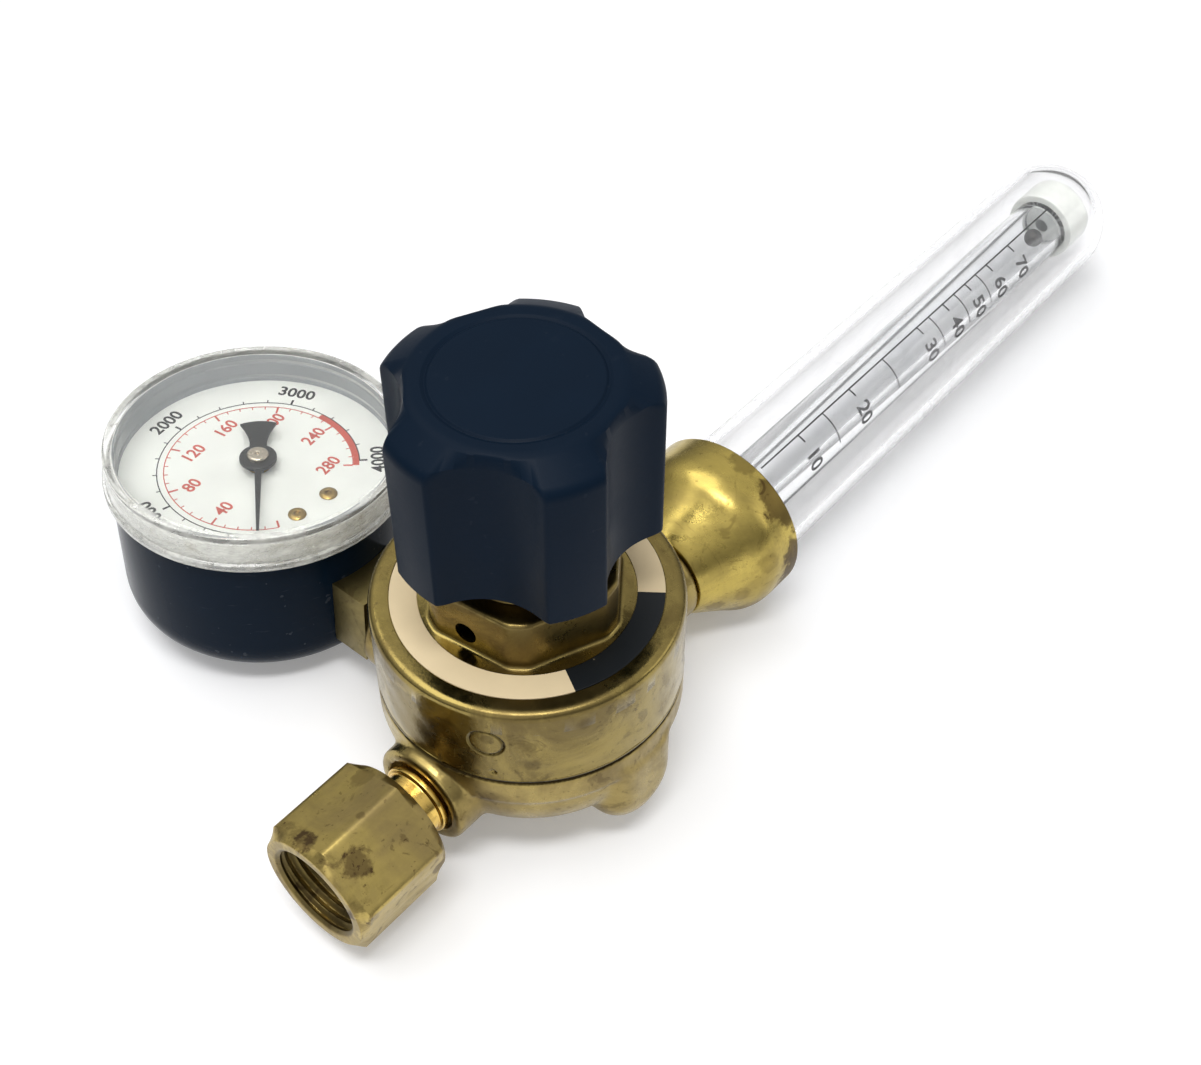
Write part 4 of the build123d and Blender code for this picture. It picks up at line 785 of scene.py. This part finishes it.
nippleSizes = {
    "hole": 2.2, "foot": 6.5, "shank": 6.1, "collar": 6.9, "flange": 8.0, "nose": 5.4, "tip": 3.4, "start": 18.5,
    "footEnd": 27.3, "collarAt": (29.5, 30.8), "flangeAt": (40.2, 42.8), "noseEnd": 46.0, "end": 48.0,
}
s = Values(**nippleSizes)
(collarLow, collarHigh), (flangeLow, flangeHigh) = s.collarAt, s.flangeAt
nippleProfile = rounded([
    (s.hole, s.start, 0), (s.foot, s.start, 0.4), (s.foot, s.footEnd, 0.2),
    (s.shank, s.footEnd, 0.2), (s.shank, collarLow, 0.2), (s.collar, collarLow, 0.45),
    (s.collar, collarHigh, 0.45), (s.shank, collarHigh, 0.3), (s.shank, flangeLow, 0.1),
    (s.flange, flangeLow, 0.3), (s.flange, flangeHigh, 0.3), (s.nose, flangeHigh, 0.3),
    (s.nose, s.noseEnd, 0.8), (s.tip, s.end, 0.6), (s.hole, s.end, 0.3), (s.hole, s.start, 0),
])
nipplePiece = meshOf("nipple_piece", [lathe(nippleProfile, inletPlace, 128, True)], 40)
keep(nipplePiece, "frame", "bright_brass", brightBrass, "inlet_nipple")

# ---------- flow cup, cover tube and metering tube

outletPlace = axisFrame((0, 0, shared["outletHigh"]), (1, 0, 0), (0, 1, 0))
# profiles as (radius, distance along the axis, rounding)
cupSizes = {
    "bell": [
        (2.4, 29.4, 0), (7.8, 29.4, 0.3), (7.8, 37.4, 0.05), (9.9, 37.4, 0.2), (11.7, 40.4, 1.6), (14.9, 45.6, 3.0),
        (16.9, 48.4, 2.2), (17.6, 51.0, 1.6), (17.6, 58.7, 0.5), (14.05, 58.7, 0.3), (14.05, 51.4, 0.05),
        (11.4, 51.4, 0.2), (11.4, 43.6, 0.4), (6.82, 43.6, 0.1), (6.82, 39.8, 0.05), (2.4, 39.8, 0.05),
        (2.4, 29.4, 0),
    ],
    "boss": [(0, 6, 0), (9.5, 6, 0), (9.5, 17.7, 0.4), (4.1, 17.7, 0.1), (4.1, 12.0, 0), (0, 12.0, 0)],
    "bossX": 47.2,
}
s = Values(**cupSizes)
sidePlace = axisFrame((s.bossX, 0, shared["outletHigh"]), (0, 1, 0), (1, 0, 0))
bellShell = lathe(rounded(s.bell), outletPlace, 192, True)
cupBell = meshOf("cup_bell", [bellShell, lathe(rounded(s.boss), sidePlace, 96)], 36)
keep(cupBell, "frame", "cup", cupBrass, "flow_cup")

coverSizes = {
    "rim": 51.4, "start": 58.7, "middle": 120, "centre": 183.5, "outer": 14.0, "endOuter": 13.65, "wall": 2.0,
}
s = Values(**coverSizes)
arc = np.linspace(0, math.pi / 2, 24)[:, None]
outerEnd = np.concatenate([s.endOuter * np.cos(arc), s.centre + s.endOuter * np.sin(arc)], 1)
innerR = s.endOuter - s.wall
innerEnd = np.concatenate([innerR * np.cos(arc), s.centre + innerR * np.sin(arc)], 1)[::-1]
middleR = (s.outer + s.endOuter) / 2
outerSide = np.array([(s.outer, s.rim + 0.3), (s.outer, s.start), (middleR, s.middle)])
innerSide = np.array([(middleR - s.wall, s.middle), (s.outer - s.wall, s.rim)])
coverProfile = np.concatenate([outerSide, outerEnd, innerEnd, innerSide, [(s.outer - 0.3, s.rim)]])
coverShell = meshOf("cover_shell", [lathe(coverProfile, outletPlace, 160, True)], 60)
keep(coverShell, "frame", "clear_cover", coverClear, "cover_tube")

meterSizes = {"outer": 6.8, "start": 40.0, "end": 180.0, "low": 2.7, "high": 4.3, "taperFrom": 59.5}
s = Values(**meterSizes)
meterProfile = rounded([
    (s.low, s.start, 0), (s.outer, s.start, 0.3), (s.outer, s.end, 0.3), (s.high, s.end, 0.2),
    (s.low, s.taperFrom, 0), (s.low, s.start, 0),
])
meterPiece = meshOf("meter_piece", [lathe(meterProfile, outletPlace, 128, True)], 40)
keep(meterPiece, "frame", "clear_tube", meterClear, "metering_tube")

topCapSizes = {"hole": 1.6, "spigot": 4.25, "radius": 8.2, "low": 179.3, "seat": 180.0, "top": 189.0}
s = Values(**topCapSizes)
topCapProfile = rounded([
    (s.hole, s.low, 0), (s.spigot, s.low, 0.1), (s.spigot, s.seat, 0.05),
    (s.radius, s.seat, 0.4), (s.radius, s.top, 1.5), (0, s.top, 0),
])
topCap = meshOf("top_cap_piece", [lathe(topCapProfile, outletPlace, 96)], 40)
keep(topCap, "frame", "pale_plastic", palePlastic, "top_cap")

ballSizes = {"radius": 2.15, "x": 176.0, "z": 16.003}
s = Values(**ballSizes)
turns = np.linspace(0, math.pi, 33)
ballProfile = np.stack([s.radius * np.sin(turns), -s.radius * np.cos(turns)], 1)
ballPlace = axisFrame((s.x, 0, s.z), (0, 0, 1), (1, 0, 0))
ballPiece = meshOf("ball_piece", [lathe(ballProfile, ballPlace, 64)], 60)
keep(ballPiece, "ball", "ball", ballSteel, "float_ball")


def lettering(words, size, spread=1.0):
    # a word as flat raised letters about its own middle, in millimetres
    data = bpy.data.curves.new("letters", "FONT")
    data.body = words
    data.size = size
    data.align_x = "CENTER"
    data.align_y = "CENTER"
    data.extrude = shared["ink"] / 2
    data.offset = shared["bold"] * size
    data.resolution_u = 4
    item = linked("letters", data)
    mesh = evaluated(item)
    points = np.empty(len(mesh.vertices) * 3)
    mesh.vertices.foreach_get("co", points)
    faces = [list(polygon.vertices) for polygon in mesh.polygons]
    bpy.data.objects.remove(item)
    bpy.data.curves.remove(data)
    bpy.data.meshes.remove(mesh)
    points = points.reshape(-1, 3)
    points[:, 0] *= spread
    return points, faces


def turnedFlat(points, angle, shift):
    # flat letters turned by an angle in degrees and moved
    a = math.radians(angle)
    x = points[:, 0] * math.cos(a) - points[:, 1] * math.sin(a) + shift[0]
    y = points[:, 0] * math.sin(a) + points[:, 1] * math.cos(a) + shift[1]
    return np.stack([x, y, points[:, 2]], 1)


def stripFaces(steps):
    # faces of a four-sided strip with closed ends
    return gridFaces(steps + 1, 4, False, True).tolist() + [[3, 2, 1, 0], [4 * steps + k for k in range(4)]]


def bar(x0, x1, y0, y1, steps=1):
    # a flat mark cut into steps along y, so that it can be wrapped
    half = shared["ink"] / 2
    x = np.array([x0, x1, x1, x0])
    y = np.linspace(y0, y1, steps + 1)
    z = np.array([-half, -half, half, half])
    points = np.stack([np.tile(x, steps + 1), np.repeat(y, 4), np.tile(z, steps + 1)], 1)
    return points, stripFaces(steps)


def wrapped(points, radius, facing):
    # x runs along the tube, y goes round it from the facing angle, z stands off its surface
    angle = facing + points[:, 1] / radius
    out = radius + shared["ink"] + points[:, 2]
    return np.stack([points[:, 0], out * np.cos(angle), shared["outletHigh"] + out * np.sin(angle)], 1)


scaleSizes = {
    "radius": 6.8, "facing": 103.0, "line": (67.0, 179.0), "size": 5.4, "narrow": 0.9, "lineHalf": 0.17,
    "tenHalf": 0.2, "halfHalf": 0.17, "numberOff": 6.2, "tenReach": 2.0, "halfReach": 7.5,
    "tens": {10: 79.5, 20: 97.6, 30: 123.4, 40: 133.7, 50: 142.8, 60: 151.8, 70: 161.0},
    "halves": [88.0, 110.0, 128.0, 138.2, 147.2],
}
s = Values(**scaleSizes)
facing = math.radians(s.facing)
marks = [bar(*s.line, -s.lineHalf, s.lineHalf)]
for value, x in s.tens.items():
    marks.append(bar(x - s.tenHalf, x + s.tenHalf, 0.0, s.tenReach, 6))
    letters, faces = lettering(str(value), s.size, s.narrow)
    marks.append((letters[:, [1, 0, 2]] + (x, s.numberOff, 0), faces))
for x in s.halves:
    marks.append(bar(x - s.halfHalf, x + s.halfHalf, 0.0, s.halfReach, 16))
tubeScale = meshOf("tube_scale", [(wrapped(p, s.radius, facing), f) for p, f in marks])
keep(tubeScale, "frame", "pointer", inkBlack)
print("flow tube ready")

# ---------- contents gauge

# the gauge is turned a little about its stem, so its pieces are made in a frame of their own
lean = math.radians(shared["gaugeTurn"])
gaugeUp = np.array([math.sin(lean), 0, math.cos(lean)])
gaugeStem = np.array([shared["gaugeX"], shared["gaugeY"], shared["inletHigh"]])
gaugeFoot = gaugeStem - shared["inletHigh"] * gaugeUp
gaugePlace = axisFrame(gaugeFoot, gaugeUp, (math.cos(lean), 0, -math.sin(lean)))

caseSizes = {
    "outer": 28.2, "wall": 0.9, "back": 2.4, "rim": 33.2, "round": 8.4, "groove": 0.35, "window": (14.2, 9.7),
    "windowLevel": 16.6, "windowFrom": 40.0, "windowDeep": 10.0,
}
s = Values(**caseSizes)
groove = s.outer - s.groove
caseProfile = rounded([
    (0, s.back, 0), (s.outer, s.back, s.round), (s.outer, s.rim - 1.9, 0.2),
    (groove, s.rim - 1.7, 0.15), (groove, s.rim - 1.3, 0.15), (s.outer, s.rim - 1.1, 0.2),
    (s.outer, s.rim, 0.3), (s.outer - s.wall, s.rim, 0.3),
    (s.outer - s.wall, s.back + s.wall, s.round), (0, s.back + s.wall, 0),
], 12)
caseShell = meshOf("case_shell", [lathe(caseProfile, gaugePlace, 192)], 40)
# a box from outside the case cuts the window for the socket, some way into the case
halfX, halfZ = (side / 2 for side in s.window)
depths = (-s.windowFrom, s.windowDeep - s.outer)
box = [(x, y, s.windowLevel + z) for x in (-halfX, halfX) for y in depths for z in (-halfZ, halfZ)]
boxFaces = [[0, 1, 3, 2], [4, 6, 7, 5], [0, 4, 5, 1], [2, 3, 7, 6], [0, 2, 6, 4], [1, 5, 7, 3]]
carve(caseShell, meshOf("window", [(placed(np.array(box), gaugePlace), boxFaces)]))
keep(caseShell, "frame", "gauge_black", casePaint, "gauge_case")

lensSizes = {
    "outer": 28.82, "flange": 29.52, "flangeLow": 32.4, "flangeTop": 33.9, "top": 40.0, "inner": 27.32,
    "skirt": 28.35, "rim": 33.2, "under": 37.8,
}
s = Values(**lensSizes)
lensProfile = rounded([
    (0, s.top, 0), (s.outer, s.top, 0.8), (s.outer, s.flangeTop, 0.2),
    (s.flange, s.flangeTop, 0.3), (s.flange, s.flangeLow, 0.3), (s.skirt, s.flangeLow, 0.1),
    (s.skirt, s.rim, 0.05), (s.inner, s.rim, 0.1), (s.inner, s.under, 0.4), (0, s.under, 0),
])
lensPiece = meshOf("lens_piece", [lathe(lensProfile, gaugePlace, 192)], 40)
keep(lensPiece, "frame", "lens", lensClear, "gauge_lens")

dialSizes = {
    "radius": 27.0, "hole": 2.2, "back": 30.9, "level": 31.4, "over": 0.01, "zero": -119.9, "sweep": 281.2,
    "full": 4000, "steps": (200, 1000), "arc": 19.3, "major": 20.9, "minor": 20.2, "thin": 0.22, "thick": 0.42,
    "numbers": 23.1, "numberSize": 3.8, "redFull": 275.8, "redEnd": 280, "redSteps": (8, 40), "redArc": 18.0,
    "redMajor": 16.2, "redMinor": 17.3, "redThin": 0.2, "redThick": 0.4, "redNumbers": 13.4, "redSize": 3.7,
    "redNarrow": 0.95, "band": (3300, 4060),
}
s = Values(**dialSizes)
discProfile = [(s.hole, s.back), (s.radius, s.back), (s.radius, s.level), (s.hole, s.level)]
dialDisc = meshOf("dial_disc", [lathe(np.array(discProfile), gaugePlace, 192, True)])
keep(dialDisc, "frame", "dial", dialPaint, "gauge_dial")


def dialAngle(value, full):
    # the angle that stands for a value of a scale with a given full value
    return math.radians(dialSizes["zero"] - dialSizes["sweep"] * value / full)


def arcMark(r0, r1, a0, a1, steps=60):
    # a flat ring piece between two radii and two angles, just over the dial
    low = dialSizes["level"] + dialSizes["over"]
    high = low + shared["ink"]
    angle = np.linspace(a0, a1, steps + 1)
    ring = np.stack([np.cos(angle), np.sin(angle)], 1)
    edges = ((r0, low), (r1, low), (r1, high), (r0, high))
    rows = [np.concatenate([ring * r, np.full((steps + 1, 1), z)], 1) for r, z in edges]
    return placed(np.stack(rows, 1).reshape(-1, 3), gaugePlace), stripFaces(steps)


def tick(value, full, r0, r1, width):
    # a mark along the radius
    half = width / (r0 + r1)
    a = dialAngle(value, full)
    return arcMark(r0, r1, a - half, a + half, 2)


def dialNumber(value, full, radius, spin, size, spread=1.0):
    # a number with its middle at a radius, turned by an angle in degrees
    a = dialAngle(value, full)
    letters, faces = lettering(str(value), size, spread)
    flat = turnedFlat(letters, spin, (radius * math.cos(a), radius * math.sin(a)))
    height = dialSizes["level"] + dialSizes["over"] + shared["ink"] / 2
    return placed(flat + (0, 0, height), gaugePlace), faces


# black scale outside, its last number upside down; red scale inside, its numbers upright; a red band between the arcs
full, redFull, redEdge = s.full, s.redFull, s.redArc + s.redThin
step, wholeStep = s.steps
blackMarks = [arcMark(s.arc, s.arc + s.thin, dialAngle(0, full), dialAngle(full, full))]
for value in range(0, full + 1, step):
    end, width = (s.minor, s.thin) if value % wholeStep else (s.major, s.thick)
    blackMarks.append(tick(value, full, s.arc, end, width))
for value in range(wholeStep, full + 1, wholeStep):
    spin = math.degrees(dialAngle(value, full)) - 90 + (180 if value == full else 0)
    blackMarks.append(dialNumber(value, full, s.numbers, spin, s.numberSize))
step, wholeStep = s.redSteps
redMarks = [
    arcMark(s.redArc, redEdge, dialAngle(0, redFull), dialAngle(s.redEnd, redFull)),
    arcMark(redEdge, s.arc, *(dialAngle(value, full) for value in s.band)),
]
for value in range(0, s.redEnd + 1, step):
    end, width = (s.redMinor, s.redThin) if value % wholeStep else (s.redMajor, s.redThick)
    redMarks.append(tick(value, redFull, end, s.redArc, width))
dialTilt = s.zero - s.sweep / 2 + 270
for value in range(wholeStep, s.redEnd + 1, wholeStep):
    redMarks.append(dialNumber(value, redFull, s.redNumbers, dialTilt, s.redSize, s.redNarrow))
keep(meshOf("dial_black", blackMarks), "frame", "pointer", inkBlack)
keep(meshOf("dial_red", redMarks), "frame", "dial", inkRed)

spacerSizes = {
    "inner": 26.67, "outer": 27.17, "low": 31.4, "high": 37.8, "groove": 26.9, "slope": 0.2,
    "grooves": ((36.9, 35.8), (33.2, 32.2)),
}
s = Values(**spacerSizes)
inner, groove, slope = s.inner, s.groove, s.slope
corners = [(s.outer, s.low), (s.outer, s.high), (inner, s.high)]
for top, bottom in s.grooves:
    corners += [(inner, top), (groove, top - slope), (groove, bottom + slope), (inner, bottom)]
foot = (inner, s.low, 0)
spacerProfile = rounded([foot, *((radius, height, 0.1) for radius, height in corners), foot])
spacerPiece = meshOf("spacer_piece", [lathe(spacerProfile, gaugePlace, 192, True)])
keep(spacerPiece, "frame", "spacer", spacerGreyAndHighlight, "gauge_spacer")

pointerSizes = {
    "turn": -132.0, "level": 33.2, "thick": 0.5, "tip": 20.2, "tipWidth": 0.5, "root": 1.5, "neckAt": 1.0,
    "waist": 3.3, "waistAt": 4.4, "tail": 10.2, "tailWidth": 7.1, "flare": 1.7, "bulge": 0.7, "disc": 3.6,
    "discLow": 33.15, "discHigh": 33.9,
}
s = Values(**pointerSizes)
turn = math.radians(s.turn)
pointerAlong = math.cos(turn) * gaugePlace[1] + math.sin(turn) * gaugePlace[2]
pointerPlace = axisFrame(gaugeFoot, gaugeUp, pointerAlong)
sweepIn = np.linspace(0, 1, 12)
sideX = -s.waistAt - (s.tail - s.waistAt) * sweepIn
sideY = s.waist / 2 + (s.tailWidth - s.waist) / 2 * sweepIn ** s.flare
endTurn = np.linspace(1, -1, 9)[1:-1]
endX = -s.tail - s.bulge * (1 - endTurn**2)
outline = [(s.tip, -s.tipWidth / 2), (s.tip, s.tipWidth / 2), (0, s.root / 2)]
outline += [(-s.neckAt, s.waist / 2), *zip(sideX, sideY), *zip(endX, endTurn * s.tailWidth / 2)]
outline += [*zip(sideX[::-1], -sideY[::-1]), (-s.neckAt, -s.waist / 2), (0, -s.root / 2)]
discProfile = rounded([
    (0, s.discLow, 0), (s.disc, s.discLow, 0.1), (s.disc, s.discHigh, 0.2), (0, s.discHigh, 0),
])
hubDisc = lathe(discProfile, gaugePlace, 64)
pointerPiece = meshOf("pointer_piece", [slab(outline, s.level, s.level + s.thick, pointerPlace), hubDisc], 40)
keep(pointerPiece, "pointer", "pointer", pointerPaint, "gauge_pointer")
capSizes = {"radius": 2.1, "low": 33.7, "high": 34.8, "dimple": 0.45, "floor": 34.4}
s = Values(**capSizes)
capProfile = rounded([
    (0, s.low, 0), (s.radius, s.low, 0.1), (s.radius, s.high, 0.5), (s.dimple, s.high, 0.1),
    (s.dimple - 0.05, s.floor, 0.1), (0, s.floor, 0),
])
hubCap = meshOf("hub_cap", [lathe(capProfile, gaugePlace, 48)], 40)
keep(hubCap, "pointer", "bright_brass", capMetal, "pointer_cap")

rivetSizes = {
    "spots": [(-4.3, -15.5), (3.7, -15.5)],
    "profile": [
        (0, 21.5, 0), (1.3, 21.5, 0), (1.3, 30.9, 0), (0.9, 30.9, 0), (0.9, 31.41, 0), (1.75, 31.41, 0.05),
        (1.75, 31.6, 0.1), (1.2, 31.95, 0.3), (0.6, 31.95, 0.15), (0.45, 31.5, 0.1), (0, 31.5, 0),
    ],
}
rivets = []
for x, y in rivetSizes["spots"]:
    foot = placed(np.array([(x, y, 0.0)]), gaugePlace)[0]
    rivets.append(lathe(rounded(rivetSizes["profile"]), axisFrame(foot, gaugeUp, gaugePlace[1]), 40))
rivetPiece = meshOf("dial_rivets", rivets, 40)
keep(rivetPiece, "frame", "bright_brass", rivetBrass, "dial_posts")

brokenEdges = {"outlet": 0.3, "socket": 0.35}
outletNut = bevelled("outlet_fitting", "outlet_nut", brokenEdges["outlet"])
keep(outletNut, "frame", "brass", plainBrass, "outlet_fitting")
socketBlock = bevelled("gauge_socket", "socket_block", brokenEdges["socket"])
keep(socketBlock, "frame", "socket", blockBrass, "gauge_socket")
print("gauge ready")

# ---------- solids that stay as they are

stay = {
    plainBrass: "nozzle poppet foot_plate inlet_filter", springSteel: "range_spring poppet_spring",
    plated: "spring_plate spring_button adjusting_screw bottom_stop pointer_spindle tip_link",
    brightBrass: "bourdon_tube movement_frame sector_gear", rubberBlack: "diaphragm cover_seal relief_plug",
    palePlastic: "slip_ring",
}
for finish, nodes in stay.items():
    for node in nodes.split():
        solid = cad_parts[node]
        solid.data.materials.clear()
        solid.data.materials.append(finish)

print("pieces done")
